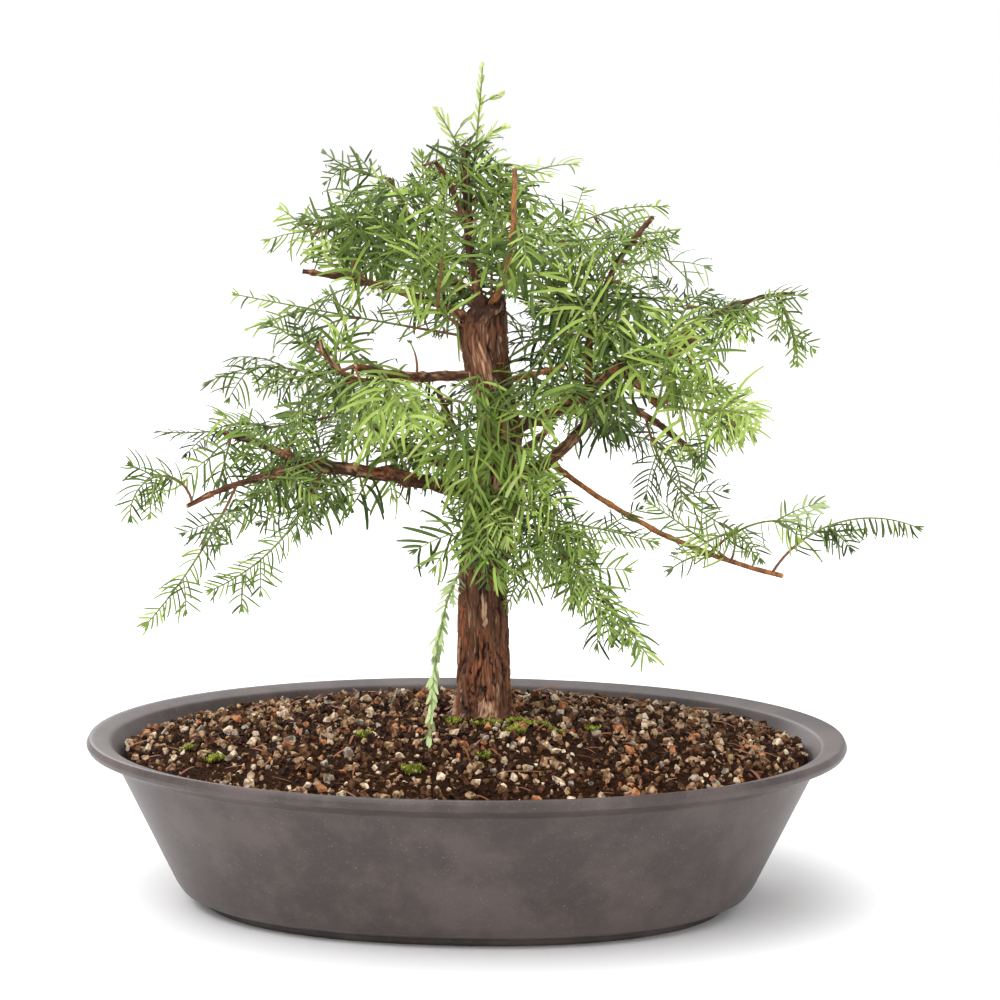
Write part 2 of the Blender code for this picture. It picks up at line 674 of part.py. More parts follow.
def build_spray(spray, sprays, limbs, home):
    """Joins a stem with its blades and cuts it clear of the limbs that it comes near."""
    stem = spray.lines[0]
    last = min(len(stem) - 1, int(math.ceil((spray.bare + 0.16) * STEPS)))
    every = sorted(set(range(0, last, 5)) | {last})
    radii = np.linspace(STEM_BASE, STEM_TIP, len(stem)) * MM
    mass = tube(spray.name, stem[every], radii[every], 0, home)
    pieces = make_collection(spray.name + "_pieces")
    for number, (line, start_share) in enumerate(zip(spray.lines, spray.starts)):
        blade(f"{spray.name}_{number}", spray, line, start_share, sprays, limbs, pieces)
    combine(mass, pieces, "UNION")
    for piece in list(pieces.objects):
        bpy.data.objects.remove(piece, do_unlink=True)
    bpy.data.collections.remove(pieces)
    box = mesh_box(mass.data)
    cutters = [limb.cutter for limb in limbs.values() if near(box, limb.box, 0.0)]
    if cutters:
        combine(mass, cutters, "DIFFERENCE")
    return mass


def dress(home):
    """Gives each node a material of its own."""
    for thing in home.objects:
        name = thing.name
        color, rough = BOUGH_COLOR, 0.8
        if name == "pot":
            color, rough = POT_COLOR, 0.55
        elif name == "soil":
            color, rough = SOIL_COLOR, 0.95
        elif name == "trunk":
            color, rough = BARK_COLOR, 0.9
        elif name.startswith("foliage"):
            color, rough = FOLIAGE_COLOR, 0.6
        elif name.startswith(("upright_shoot", "shoot")):
            color, rough = SHOOT_COLOR, 0.6
        thing.data.materials.clear()
        thing.data.materials.append(make_material(name + "_material", color, rough))


def main():
    clear_scene()
    home = make_collection(COLLECTION)
    tools = make_collection("cutters")
    build_pot(home)
    build_soil(home)
    limbs = build_limbs(home, tools)
    sprays = [Spray(row, limbs, number) for number, row in enumerate(FOLIAGE)]
    trim(sprays, limbs)
    for spray in sprays:
        build_spray(spray, sprays, limbs, home)
    for tool in list(tools.objects):
        bpy.data.objects.remove(tool, do_unlink=True)
    bpy.data.collections.remove(tools)
    dress(home)
    total = 0
    for thing in home.objects:
        total += sum(len(face.vertices) - 2 for face in thing.data.polygons)
    print("nodes", len(home.objects), "triangles", total)


main()
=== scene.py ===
"""A bonsai dawn redwood in an oval pot: bark, twigs, sprays of needles, gritty soil, moss and the pot.

Metres, +Z up. X runs to the right and Y away from the viewer in the front view.
The origin is the middle of the pot's flat underside.
"""
import json
import math
import random

import bmesh
import bpy
import numpy as np
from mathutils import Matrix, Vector, noise

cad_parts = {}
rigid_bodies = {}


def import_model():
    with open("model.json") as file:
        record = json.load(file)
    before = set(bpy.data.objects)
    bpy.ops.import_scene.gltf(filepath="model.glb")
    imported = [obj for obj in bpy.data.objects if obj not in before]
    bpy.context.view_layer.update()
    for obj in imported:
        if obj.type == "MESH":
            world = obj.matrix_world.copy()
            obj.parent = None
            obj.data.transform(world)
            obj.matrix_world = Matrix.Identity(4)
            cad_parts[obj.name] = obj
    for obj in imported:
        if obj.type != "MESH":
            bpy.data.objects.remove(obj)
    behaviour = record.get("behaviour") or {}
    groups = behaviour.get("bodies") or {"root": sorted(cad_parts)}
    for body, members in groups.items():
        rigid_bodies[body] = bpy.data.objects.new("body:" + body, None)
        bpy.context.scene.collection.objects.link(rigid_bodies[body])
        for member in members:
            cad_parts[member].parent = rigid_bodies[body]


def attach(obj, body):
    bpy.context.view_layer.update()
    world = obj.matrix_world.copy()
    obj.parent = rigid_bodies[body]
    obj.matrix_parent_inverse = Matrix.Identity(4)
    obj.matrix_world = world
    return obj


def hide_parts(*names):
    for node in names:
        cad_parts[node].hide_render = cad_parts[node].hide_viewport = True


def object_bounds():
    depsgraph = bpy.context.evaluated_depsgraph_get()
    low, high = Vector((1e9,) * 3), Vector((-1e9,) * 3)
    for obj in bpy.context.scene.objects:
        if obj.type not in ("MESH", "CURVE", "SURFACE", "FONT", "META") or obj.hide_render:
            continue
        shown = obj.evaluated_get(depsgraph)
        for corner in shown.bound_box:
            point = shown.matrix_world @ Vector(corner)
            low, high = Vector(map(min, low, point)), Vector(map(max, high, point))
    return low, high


bl_info = {
    "name": "Bonsai Dawn Redwood",
    "version": (1, 0, 0),
    "blender": (4, 5, 0),
    "location": "3D View > Sidebar > Redwood",
    "description": "Dresses a potted bonsai dawn redwood with bark, twigs, needles, grit and moss",
    "category": "Object",
}

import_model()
CAD_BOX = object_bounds()

MM = 0.001
BODY = "root"

# Pot: half width, half depth, height and squareness of each ring, in mm.
POT_RINGS = (
    (98.0, 70.0, 1.1, 2.25),
    (100.5, 72.5, 0.0, 2.25),
    (106.0, 77.5, 0.0, 2.25),
    (106.0, 77.5, 3.0, 2.25),
    (110.0, 81.0, 3.6, 2.25),
    (114.5, 85.0, 5.6, 2.22),
    (117.0, 87.5, 9.2, 2.20),
    (128.8, 97.4, 33.0, 2.14),
    (140.6, 107.6, 56.8, 2.08),
    (151.6, 117.2, 61.4, 2.05),
    (152.5, 118.0, 63.4, 2.05),
    (151.2, 116.8, 66.0, 2.05),
    (142.5, 109.0, 63.8, 2.06),
    (138.4, 105.4, 58.0, 2.08),
    (114.2, 84.8, 10.0, 2.20),
    (109.0, 80.5, 7.0, 2.22),
)
SOIL_EDGE = (135.4, 102.4, 60.0, 2.08)
MOUND_RISE = 12.0
MOUND_TOP = 19.0

# Trunk: height, sideways offset and radius of its rings, in mm. It stands a little behind the middle.
TRUNK_BACK = 5.0
TRUNK_RINGS = (
    (72.3, 7.5, 12.2),
    (75.5, 7.4, 11.4),
    (81.0, 7.2, 10.8),
    (90.0, 7.0, 10.4),
    (104.0, 6.9, 10.2),
    (119.0, 6.3, 10.0),
    (132.0, 6.3, 9.7),
    (148.0, 8.3, 9.6),
    (164.0, 11.0, 9.5),
    (180.0, 12.9, 8.9),
    (192.0, 12.8, 8.2),
    (202.0, 11.2, 7.9),
    (213.0, 8.6, 8.7),
    (224.0, 6.5, 9.9),
    (231.0, 6.4, 9.6),
    (236.5, 8.6, 7.4),
    (240.0, 10.6, 4.6),
)
# Root flare: its lobes, their share of the trunk's radius, and the height in mm over which they fade.
FLARE_LOBES = 5
FLARE = 0.13
FLARE_FADE = 9.0
# Long furrows, as a share of the radius, and the slope of the cut top.
FURROW = 0.035
TOP_SLANT = 0.30
# The trunk's mesh: sides, most triangles, and the height in mm of its lowest ring, below the soil's surface.
TRUNK_SIDES = 196
TRUNK_TRIANGLES = 194000
TRUNK_FOOT = 70.6
# Heights in mm between which the bark turns smooth, the rim ragged and the bark darker at the top,
# and between which painted shade darkens its right side.
TOP_SMOOTH = (240.0, 233.0)
TOP_RAGGED = (222.0, 238.0)
TOP_DARK = (226.0, 236.0)
RIGHT_PAINTED_SHADE = (120.0, 190.0)
# Collar round the foot of each bough: how far it stands out and reaches, in radii of the bough.
COLLAR_RISE = 0.55
COLLAR_REACH = 1.15
# Width and length in mm of the trunk bark's plates, of its splits and of its fibres.
PLATE = (3.7, 33.0)
SPLIT = (1.5, 15.0)
FIBRE = (0.70, 8.0)

# Boughs: name, what it grows from, the trunk height in mm or the share of that bough's length
# where it starts, heading and rise in degrees, length in mm, turn and lift over that length
# in degrees, base and tip radius in mm. Heading 0 is to the right and 90 away from the viewer.
BOUGHS = (
    ("leader_stub", "trunk", 232, 200, 76, 69, 4, 16, 2.4, 2.0),
    ("leader_side_stub", "leader_stub", 0.5, 215, 72, 32, 0, -20, 1.4, 1.1),
    ("upright_shoot", "trunk", 237, 295, 19, 74, -15, 67, 1.4, 1.1),
    ("bough_crown_left", "trunk", 233, 150, 38, 72, -2, 20, 1.8, 1.1),
    ("bough_upper_left", "trunk", 229, 195, 29, 75, -3, -23, 2.0, 1.2),
    ("bough_middle_left", "trunk", 210, 206, -4, 57, 4, 18, 2.5, 1.7),
    ("twig_middle_left", "bough_middle_left", 0.67, 178, -30, 40, 3, 105, 1.1, 1.3),
    ("bough_inner_left", "trunk", 167, 132, 25, 50, 14, 40, 2.0, 1.3),
    ("bough_back_left", "trunk", 173, 164, -8, 79, -17, 57, 2.4, 1.5),
    ("bough_lower_left", "trunk", 160, 192, 17, 75, -2, -11, 3.5, 2.8),
    ("fork_lower_left", "bough_lower_left", 1.0, 175, 25, 36, 1, -12, 2.2, 1.3),
    ("bough_lowest_left", "bough_lower_left", 0.92, 213, 0, 59, -5, -25, 2.0, 1.1),
    ("bough_right", "trunk", 187, 339, 15, 61, 6, 29, 3.1, 2.6),
    ("fork_right_down", "bough_right", 1.0, 318, -45, 26, 0, 17, 2.2, 1.8),
    ("fork_right_out", "bough_right", 1.0, 8, -6, 31, 0, 48, 2.3, 2.1),
    ("bough_back_right", "trunk", 166, 23, 10, 59, 4, 52, 3.2, 2.2),
    ("fork_back_right", "bough_back_right", 1.0, 348, -17, 46, 0, -26, 1.8, 1.3),
    ("shoot_long_right", "bough_back_right", 0.42, 344, -36, 108, -5, 28, 1.3, 1.1),
    ("stub_upper_right", "bough_right", 0.71, 29, 95, 75, -2, -54, 1.7, 1.2),
    ("bough_far_right", "fork_right_out", 0.5, 20, 49, 61, -5, -49, 1.5, 0.8),
    ("stub_inner_right", "trunk", 207, 335, 11, 34, 0, 5, 1.5, 1.0),
    ("bough_back_high", "trunk", 200, 100, 22, 58, 12, 12, 2.2, 1.4),
    ("bough_back_low", "trunk", 172, 66, 8, 62, 10, 14, 2.4, 1.4),
)

# Foliage: name, what its stem grows from, where, heading, rise, length, turn and lift as for a bough,
# then side sprays, length of the longest in mm, needle length in mm,
# how far the sprays face the viewer (0 lies flat, 1 upright), and the bare share of the stem.
FOLIAGE = (
    ("foliage_top", "leader_stub", 0.58, 240, 103, 60, 1, -6, 3, 12, 6, 0.8, 0.12),
    ("foliage_front_high", "bough_inner_left", 0.92, 300, 2, 93, 5, -4, 2, 28, 16, 0.9, 0.20),
    ("foliage_crown_left_tip", "bough_crown_left", 1.0, 172, 4, 28, 0, 32, 2, 14, 8, 0.8, 0.10),
    ("foliage_crown_left", "bough_crown_left", 0.42, 215, 6, 51, 11, 36, 3, 32, 14, 0.7, 0.12),
    ("foliage_upper_left_tip", "bough_upper_left", 0.71, 165, 48, 41, 2, -15, 2, 24, 11, 0.8, 0.12),
    ("foliage_thin_left", "trunk", 224, 172, 8, 102, 3, 2, 2, 20, 8, 0.7, 0.22),
    ("foliage_crown_front", "trunk", 229, 235, -6, 54, -20, 103, 2, 30, 16, 0.6, 0.28),
    ("foliage_crown_middle", "bough_crown_left", 0.54, 230, 85, 35, 0, 1, 3, 24, 10, 0.6, 0.15),
    ("foliage_shoot_tip", "upright_shoot", 1.0, 340, -3, 13, 0, -11, 2, 22, 10, 0.6, 0.10),
    ("foliage_upper_right", "trunk", 235, 24, 60, 90, 6, -64, 3, 36, 12, 0.5, 0.26),
    ("foliage_stub_right", "stub_upper_right", 0.83, 335, -16, 27, 0, -28, 2, 20, 12, 0.6, 0.12),
    ("foliage_dark_right", "bough_far_right", 0.12, 59, 80, 30, -11, -72, 3, 26, 10, 0.5, 0.15),
    ("foliage_far_right", "bough_far_right", 0.88, 340, -52, 28, 2, -37, 2, 12, 7, 1.0, 0.10),
    ("foliage_behind_right", "stub_upper_right", 0.29, 140, -2, 43, -1, -12, 3, 30, 16, 0.7, 0.15),
    ("foliage_front_right", "bough_back_right", 0.83, 262, 74, 36, -30, -112, 2, 34, 14, 0.7, 0.15),
    ("foliage_right_end", "fork_right_out", 0.83, 335, -70, 38, -1, 24, 2, 20, 12, 0.9, 0.10),
    ("foliage_right_low", "fork_right_down", 1.0, 335, 2, 41, -11, -21, 2, 18, 13, 0.8, 0.08),
    ("foliage_sparse_right", "fork_back_right", 0.42, 320, -74, 54, 29, 46, 2, 22, 11, 0.8, 0.15),
    ("foliage_long_tip", "shoot_long_right", 0.96, 2, 60, 63, -4, -81, 1, 14, 10, 0.8, 0.20),
    ("foliage_long_loop", "shoot_long_right", 0.71, 333, 47, 56, -23, -62, 2, 24, 10, 0.6, 0.20),
    ("foliage_low_right", "trunk", 161, 313, -17, 106, 5, -24, 3, 26, 12, 0.8, 0.24),
    ("foliage_flat_right", "trunk", 155, 349, -3, 67, 2, -10, 2, 24, 9, 0.7, 0.30),
    ("foliage_low_left", "trunk", 134, 261, 15, 128, 10, -78, 0, 0, 7, 0.9, 0.30),
    ("foliage_front", "trunk", 168, 262, -39, 42, -6, 7, 4, 38, 13, 0.9, 0.36),
    ("foliage_middle_left", "bough_back_left", 1.0, 178, 35, 58, 11, -61, 3, 34, 12, 0.6, 0.10),
    ("foliage_outer_left", "bough_back_left", 0.88, 200, -13, 81, -4, 16, 3, 30, 10, 0.6, 0.15),
    ("foliage_fork_left", "fork_lower_left", 0.92, 200, -77, 19, 0, 6, 2, 24, 12, 0.9, 0.15),
    ("foliage_lowest_tip", "bough_lowest_left", 0.96, 218, 80, 42, 12, -170, 1, 12, 10, 1.0, 0.34),
    ("foliage_lowest_left", "bough_lowest_left", 0.62, 208, -64, 64, 0, 18, 2, 18, 10, 0.9, 0.12),
    ("foliage_lower_left", "bough_lower_left", 0.92, 215, -69, 68, -3, 50, 2, 18, 10, 0.9, 0.15),
    ("foliage_back_top", "trunk", 228, 105, 32, 62, 10, -50, 3, 36, 13, 0.3, 0.25),
    ("foliage_back_high", "bough_back_high", 1.0, 112, 20, 44, 10, -60, 3, 36, 13, 0.3, 0.10),
    ("foliage_back_right", "bough_back_low", 1.0, 66, 10, 46, -10, -60, 3, 36, 13, 0.3, 0.10),
    ("foliage_back_low", "bough_back_low", 0.42, 120, -6, 66, 8, -30, 3, 34, 13, 0.3, 0.15),
)

# Finer fronds, written as the foliage is, with the tint of their needles last. The dark tint of fronds under
# boughs, at the back and in the crown's middle is painted shade.
FRONDS = (
    ("top_side_left", "foliage_top", 0.33, 190, 56, 26, 0, 4, 1, 12, 7, 0.8, 0.35, "tip"),
    ("top_side_right", "foliage_top", 0.46, 350, 54, 14, 0, -30, 0, 0, 7, 0.8, 0.35, "tip"),
    ("top_side_low", "foliage_top", 0.38, 334, 74, 11, 0, -29, 0, 0, 8, 0.8, 0.3, "tip"),
    ("top_bush_right", "foliage_top", 0.23, 4, 52, 25, 0, -84, 1, 10, 8, 0.7, 0.2, "bright"),
    ("top_bush_left", "foliage_top", 0.15, 195, 37, 22, 0, -17, 2, 16, 8, 0.7, 0.15, "bright"),
    ("crown_up_left", "leader_stub", 0.17, 210, 25, 55, 0, 19, 2, 22, 11, 0.7, 0.12, "fresh"),
    ("crown_up_right", "leader_stub", 0.43, 350, 71, 29, 0, -48, 2, 22, 13, 0.7, 0.12, "dark"),
    ("crown_right_bow", "leader_stub", 0.56, 325, 35, 35, -12, -62, 1, 16, 12, 0.6, 0.1, "fresh"),
    ("crown_right_high", "leader_stub", 0.6, 331, 48, 25, -3, -41, 1, 14, 10, 0.6, 0.1, "fresh"),
    ("crown_over_trunk", "bough_crown_left", 0.31, 240, 3, 41, -3, 68, 1, 18, 14, 0.5, 0.1, "fresh"),
    ("trunk_top_fan", "foliage_crown_front", 0.52, 286, 61, 56, -1, 2, 0, 0, 10, 0.9, 0.3, "fresh"),
    ("crown_left_arch", "bough_crown_left", 1, 230, -74, 48, 13, -78, 1, 20, 16, 0.8, 0.08, "fresh"),
    ("crown_left_arch_in", "bough_crown_left", 0.98, 244, -30, 48, 16, -103, 1, 18, 15, 0.8, 0.1, "bright"),
    ("crown_left_dark_up", "foliage_crown_left", 0.97, 155, -12, 18, 0, 23, 0, 0, 9, 0.9, 0.05, "dark"),
    ("crown_left_light", "bough_upper_left", 0.76, 205, 42, 19, 0, -21, 1, 12, 7, 0.8, 0.2, "bright"),
    ("crown_left_under", "bough_upper_left", 0.63, 174, -6, 22, 0, -22, 0, 0, 11, 0.3, 0.1, "dark"),
    ("crown_left_inner", "foliage_crown_left", 0.07, 173, 47, 40, 0, -23, 2, 24, 14, 0.7, 0.1, "fresh"),
    ("crown_back_fill", "bough_crown_left", 0.36, 164, 70, 16, 1, -69, 2, 24, 13, 0.4, 0.1, "dark"),
    ("crown_front_left", "foliage_crown_front", 0.55, 239, 48, 25, 8, -57, 0, 0, 14, 0.6, 0.1, "bright"),
    ("shoot_side_right", "upright_shoot", 0.69, 336, -6, 18, -1, -19, 2, 22, 10, 0.5, 0.1, "fresh"),
    ("shoot_side_left", "upright_shoot", 0.58, 214, 75, 19, 2, -108, 1, 14, 12, 0.5, 0.1, "fresh"),
    ("right_top_flat", "foliage_upper_right", 0.42, 341, 3, 54, 0, 6, 3, 26, 11, 0.4, 0.08, "fresh"),
    ("right_top_pale", "foliage_upper_right", 0.66, 351, -58, 21, -1, 5, 0, 0, 12, 0.7, 0.1, "grey"),
    ("right_top_second", "stub_upper_right", 0.69, 313, -17, 31, 0, 75, 1, 20, 10, 0.4, 0.05, "fresh"),
    ("right_top_long", "stub_upper_right", 0.6, 11, -3, 56, -4, -110, 0, 0, 16, 0.6, 0.05, "fresh"),
    ("right_dark_arch", "stub_upper_right", 0.51, 334, 10, 29, 0, -68, 1, 24, 14, 0.4, 0.05, "dark"),
    ("right_up_inner", "stub_upper_right", 0.38, 148, 47, 14, -1, -21, 2, 26, 13, 0.5, 0.08, "dark"),
    ("right_up_feather", "foliage_upper_right", 0.32, 320, 28, 11, 0, 12, 2, 24, 12, 0.5, 0.05, "dark"),
    ("right_blade_left", "stub_upper_right", 0.26, 151, 4, 17, 0, -19, 1, 24, 15, 0.5, 0.05, "dark"),
    ("right_blade_low", "stub_upper_right", 0.4, 200, 0, 23, 0, -6, 1, 24, 15, 0.6, 0.08, "dark"),
    ("right_blade_out", "stub_upper_right", 0.47, 27, 3, 17, 0, -7, 1, 20, 17, 0.5, 0.05, "bright"),
    ("right_hang_bright", "fork_right_out", 0.43, 296, 50, 40, -20, -93, 1, 18, 17, 0.7, 0.05, "bright"),
    ("right_fork_mat", "bough_right", 0.97, 328, 38, 23, -2, -78, 1, 20, 15, 0.5, 0.05, "bright"),
    ("far_under_left", "bough_far_right", 0.72, 162, -46, 41, 0, -23, 0, 0, 9, 0.8, 0.1, "fresh"),
    ("far_under_mid", "bough_far_right", 0.66, 326, -81, 14, 0, 11, 1, 10, 8, 0.9, 0.1, "grey"),
    ("right_front_low", "foliage_front_right", 0.11, 319, 3, 18, 0, 45, 1, 18, 13, 0.7, 0.1, "grey"),
    ("right_cut_spray", "fork_right_down", 0.98, 341, 34, 30, -4, -35, 0, 0, 7, 0.9, 0.1, "fresh"),
    ("right_low_drop", "foliage_right_low", 0.4, 306, 8, 37, 4, -11, 1, 14, 12, 0.8, 0.1, "bright"),
    ("loop_left", "shoot_long_right", 0.7, 215, 11, 15, 0, -11, 0, 0, 8, 0.7, 0.1, "grey"),
    ("loop_star", "shoot_long_right", 0.81, 280, 18, 29, -7, 28, 0, 0, 9, 0.8, 0.3, "fresh"),
    ("left_mid_inner", "bough_middle_left", 0.8, 298, -19, 32, 0, -8, 2, 24, 13, 0.7, 0.06, "bright"),
    ("left_mid_low", "bough_middle_left", 0.6, 205, -26, 24, 0, -4, 2, 24, 14, 0.7, 0.08, "bright"),
    ("left_mid_second", "foliage_middle_left", 0.42, 172, -40, 16, -1, 17, 1, 14, 8, 0.7, 0.1, "fresh"),
    ("left_outer_low", "foliage_outer_left", 0.6, 245, -65, 16, 0, -42, 0, 0, 7, 0.8, 0.1, "fresh"),
    ("left_dark_hang_in", "fork_lower_left", 0.23, 232, -70, 18, 0, 32, 1, 16, 12, 0.6, 0.08, "dark"),
    ("left_over_bough", "bough_lower_left", 0.47, 183, 75, 40, 0, -53, 2, 24, 13, 0.7, 0.08, "bright"),
    ("left_over_bough_low", "bough_lower_left", 0.47, 179, 57, 33, 4, -47, 1, 20, 12, 0.6, 0.08, "fresh"),
    ("left_inner_shoot", "bough_inner_left", 0.49, 200, 6, 28, 0, -28, 2, 24, 13, 0.7, 0.1, "fresh"),
    ("lower_fork", "bough_lower_left", 0.85, 196, -8, 54, 0, -41, 1, 20, 11, 0.8, 0.1, "fresh"),
    ("under_bough_dark", "bough_lower_left", 0.67, 258, -35, 24, 0, 15, 0, 0, 15, 0.4, 0.08, "dark"),
    ("front_bright_left", "trunk", 172, 212, 40, 36, 10, -74, 1, 16, 12, 0.8, 0.45, "bright"),
    ("front_right_down", "trunk", 168, 300, -17, 36, 0, 7, 2, 26, 13, 0.8, 0.3, "bright"),
    ("front_right_out", "trunk", 169, 312, 7, 32, -3, -58, 2, 24, 12, 0.7, 0.3, "fresh"),
    ("front_up_right", "trunk", 180, 273, 23, 34, 0, 10, 1, 22, 14, 0.8, 0.3, "fresh"),
    ("front_up_left", "trunk", 188, 225, 10, 27, 0, -23, 1, 22, 14, 0.8, 0.3, "fresh"),
    ("front_low_mid", "trunk", 152, 306, -12, 58, 0, -7, 1, 20, 10, 0.9, 0.25, "fresh"),
    ("front_low_left", "trunk", 148, 272, -3, 25, 2, -46, 1, 14, 10, 0.9, 0.25, "fresh"),
    ("low_right_second", "foliage_low_right", 0.27, 310, 0, 47, 0, 0, 1, 20, 11, 0.7, 0.06, "fresh"),
    ("low_right_over", "bough_back_right", 0.36, 310, -28, 55, 1, -53, 0, 0, 13, 0.6, 0.1, "grey"),
    ("low_right_under", "foliage_low_right", 0.53, 307, -57, 18, 0, 25, 0, 0, 11, 0.9, 0.1, "dark"),
    ("trunk_side_small", "trunk", 148, 328, -18, 37, 16, -110, 0, 0, 7, 0.8, 0.35, "fresh"),
    ("right_inner_up", "bough_right", 0.4, 290, 40, 41, 0, -3, 1, 20, 14, 0.7, 0.12, "fresh"),
    ("centre_fill_a", "leader_stub", 0.18, 195, 51, 17, 0, 42, 2, 18, 13, 0.6, 0.1, "dark"),
    ("centre_fill_b", "leader_stub", 0.2, 351, 49, 29, 0, 14, 2, 18, 13, 0.6, 0.1, "fresh"),
    ("centre_fill_c", "trunk", 239, 279, 88, 56, 11, -38, 1, 18, 14, 0.6, 0.1, "fresh"),
    ("centre_back_a", "trunk", 238, 149, 30, 39, -1, -35, 2, 24, 13, 0.5, 0.1, "dark"),
    ("centre_back_b", "trunk", 239, 68, 53, 26, -1, -8, 2, 24, 13, 0.5, 0.1, "dark"),
    ("right_fill_a", "stub_upper_right", 0.24, 0, 77, 25, 0, 5, 2, 24, 13, 0.5, 0.08, "dark"),
    ("right_fill_b", "stub_upper_right", 0.39, 284, -1, 21, 1, -21, 2, 24, 13, 0.5, 0.08, "fresh"),
    ("right_fill_c", "bough_back_right", 0.71, 87, 24, 40, 1, 58, 1, 16, 13, 0.5, 0.08, "dark"),
    ("right_fill_d", "bough_right", 0.77, 316, 69, 25, 0, 22, 1, 22, 14, 0.6, 0.08, "fresh"),
    ("right_fill_e", "bough_right", 0.85, 347, 45, 44, 0, -25, 1, 22, 14, 0.6, 0.08, "bright"),
    ("right_fill_f", "bough_right", 0.68, 37, 77, 55, -3, 37, 2, 24, 13, 0.5, 0.08, "dark"),
    ("inner_left_b", "bough_back_left", 0.72, 177, 31, 29, 0, -34, 2, 24, 14, 0.6, 0.08, "fresh"),
    ("inner_left_c", "bough_inner_left", 0.19, 172, 84, 12, 1, 63, 1, 22, 14, 0.7, 0.1, "fresh"),
    ("inner_left_d", "bough_inner_left", 0.63, 166, 36, 30, 0, -15, 2, 22, 13, 0.5, 0.1, "dark"),
    ("over_fork_left", "fork_lower_left", 0.11, 185, 23, 34, 0, 15, 1, 18, 12, 0.6, 0.08, "fresh"),
    ("over_fork_left_in", "bough_lower_left", 0.92, 225, 75, 40, 0, 4, 1, 20, 13, 0.6, 0.08, "fresh"),
    ("under_fork_left", "fork_lower_left", 0.04, 203, -36, 28, 1, 10, 1, 16, 12, 0.6, 0.08, "fresh"),
    ("front_cover_a", "trunk", 190, 245, -6, 44, 6, -92, 2, 20, 14, 0.8, 0.15, "bright"),
    ("front_cover_b", "trunk", 182, 254, -20, 42, -6, -67, 2, 20, 14, 0.8, 0.2, "fresh"),
    ("front_cover_c", "trunk", 186, 296, 5, 33, 8, -90, 2, 20, 14, 0.8, 0.2, "bright"),
    ("front_cover_d", "trunk", 176, 241, -28, 25, 4, -42, 2, 18, 10, 0.85, 0.2, "bright"),
    ("front_cover_e", "trunk", 174, 309, -19, 35, -4, 23, 2, 18, 10, 0.85, 0.2, "bright"),
    ("front_cover_f", "trunk", 162, 272, 17, 42, 0, -83, 2, 18, 10, 0.9, 0.2, "fresh"),
    ("front_cover_g", "trunk", 160, 220, 3, 19, 6, -26, 1, 12, 10, 0.9, 0.2, "bright"),
    ("front_cover_h", "trunk", 160, 317, 0, 58, -6, -29, 1, 16, 10, 0.9, 0.2, "fresh"),
    ("bare_twig", "bough_middle_left", 0.53, 329, 78, 14, 0, 52, 0, 0, 3, 0.5, 0.95, "dark"),
    ("under_hang_a", "bough_lower_left", 0.87, 205, -80, 15, 0, -34, 1, 14, 13, 0.8, 0.1, "dark"),
    ("under_hang_c", "bough_lower_left", 0.85, 196, -63, 20, 0, 26, 1, 14, 12, 0.8, 0.1, "fresh"),
    ("mid_left_arc", "twig_middle_left", 0.89, 160, 38, 27, 0, -36, 0, 0, 12, 0.9, 0.1, "grey"),
    ("mid_left_pale", "bough_middle_left", 0.99, 222, -7, 39, 0, 6, 0, 0, 10, 0.9, 0.1, "grey"),
    ("under_mid_a", "bough_middle_left", 0.5, 222, -83, 16, -1, 50, 1, 14, 13, 0.8, 0.1, "bright"),
    ("under_mid_b", "bough_middle_left", 0.14, 299, 24, 17, -5, -106, 1, 14, 13, 0.8, 0.1, "fresh"),
    ("left_sweep_a", "bough_middle_left", 0.83, 292, -11, 56, 0, -9, 1, 20, 15, 0.8, 0.1, "bright"),
    ("left_sweep_b", "bough_middle_left", 1, 294, -34, 36, 0, -16, 1, 18, 15, 0.8, 0.1, "fresh"),
    ("left_knot", "trunk", 173, 220, 34, 38, 1, -22, 2, 16, 14, 0.8, 0.2, "bright"),
    ("right_bright_a", "bough_far_right", 0.13, 357, 30, 11, 1, -67, 1, 18, 15, 0.8, 0.1, "bright"),
    ("right_bright_b", "fork_right_out", 0.33, 309, 6, 41, 0, -1, 1, 18, 15, 0.8, 0.1, "bright"),
    ("far_hang_left", "bough_far_right", 0.62, 327, -108, 21, 0, -71, 0, 0, 10, 0.9, 0.1, "bright"),
    ("right_end_arch", "fork_right_down", 0.94, 281, 34, 54, 0, 32, 0, 0, 13, 0.9, 0.1, "bright"),
    ("right_knot", "fork_right_down", 0.89, 346, 30, 43, 0, -75, 0, 0, 12, 0.7, 0.2, "tip"),
    ("loop_more_low", "shoot_long_right", 0.69, 182, -5, 16, 0, -34, 0, 0, 9, 0.8, 0.1, "grey"),
    ("low_right_fill", "foliage_low_right", 0.42, 302, -10, 51, 0, -44, 1, 14, 11, 0.9, 0.1, "fresh"),
    ("crown_right_fill", "leader_stub", 0.61, 343, 58, 33, -5, -104, 1, 16, 13, 0.7, 0.1, "fresh"),
    ("crown_left_fill", "leader_side_stub", 0.22, 203, 26, 28, 1, -29, 1, 18, 14, 0.7, 0.1, "fresh"),
    ("right_front_fan", "bough_right", 0.87, 231, 68, 49, 0, -19, 1, 14, 15, 0.8, 0.1, "bright"),
    ("right_front_fan_b", "bough_right", 0.88, 210, -50, 16, 0, 0, 1, 12, 14, 0.8, 0.1, "bright"),
    ("more_a_00", "twig_middle_left", 0.09, 186, -2, 26, -2, -41, 1, 15, 14, 0.8, 0.08, "dark"),
    ("more_a_01", "twig_middle_left", 0.42, 208, -12, 42, -2, -37, 2, 21, 8, 0.6, 0.08, "dark"),
    ("more_a_02", "fork_lower_left", 0.19, 75, -55, 33, 3, -52, 1, 18, 10, 0.8, 0.08, "grey"),
    ("more_a_03", "foliage_lowest_tip", 0.33, 169, -15, 13, -2, -51, 0, 0, 10, 0.8, 0.08, "dark"),
    ("more_a_04", "foliage_lowest_tip", 0.19, 238, 33, 12, -3, -24, 0, 0, 9, 0.7, 0.08, "fresh"),
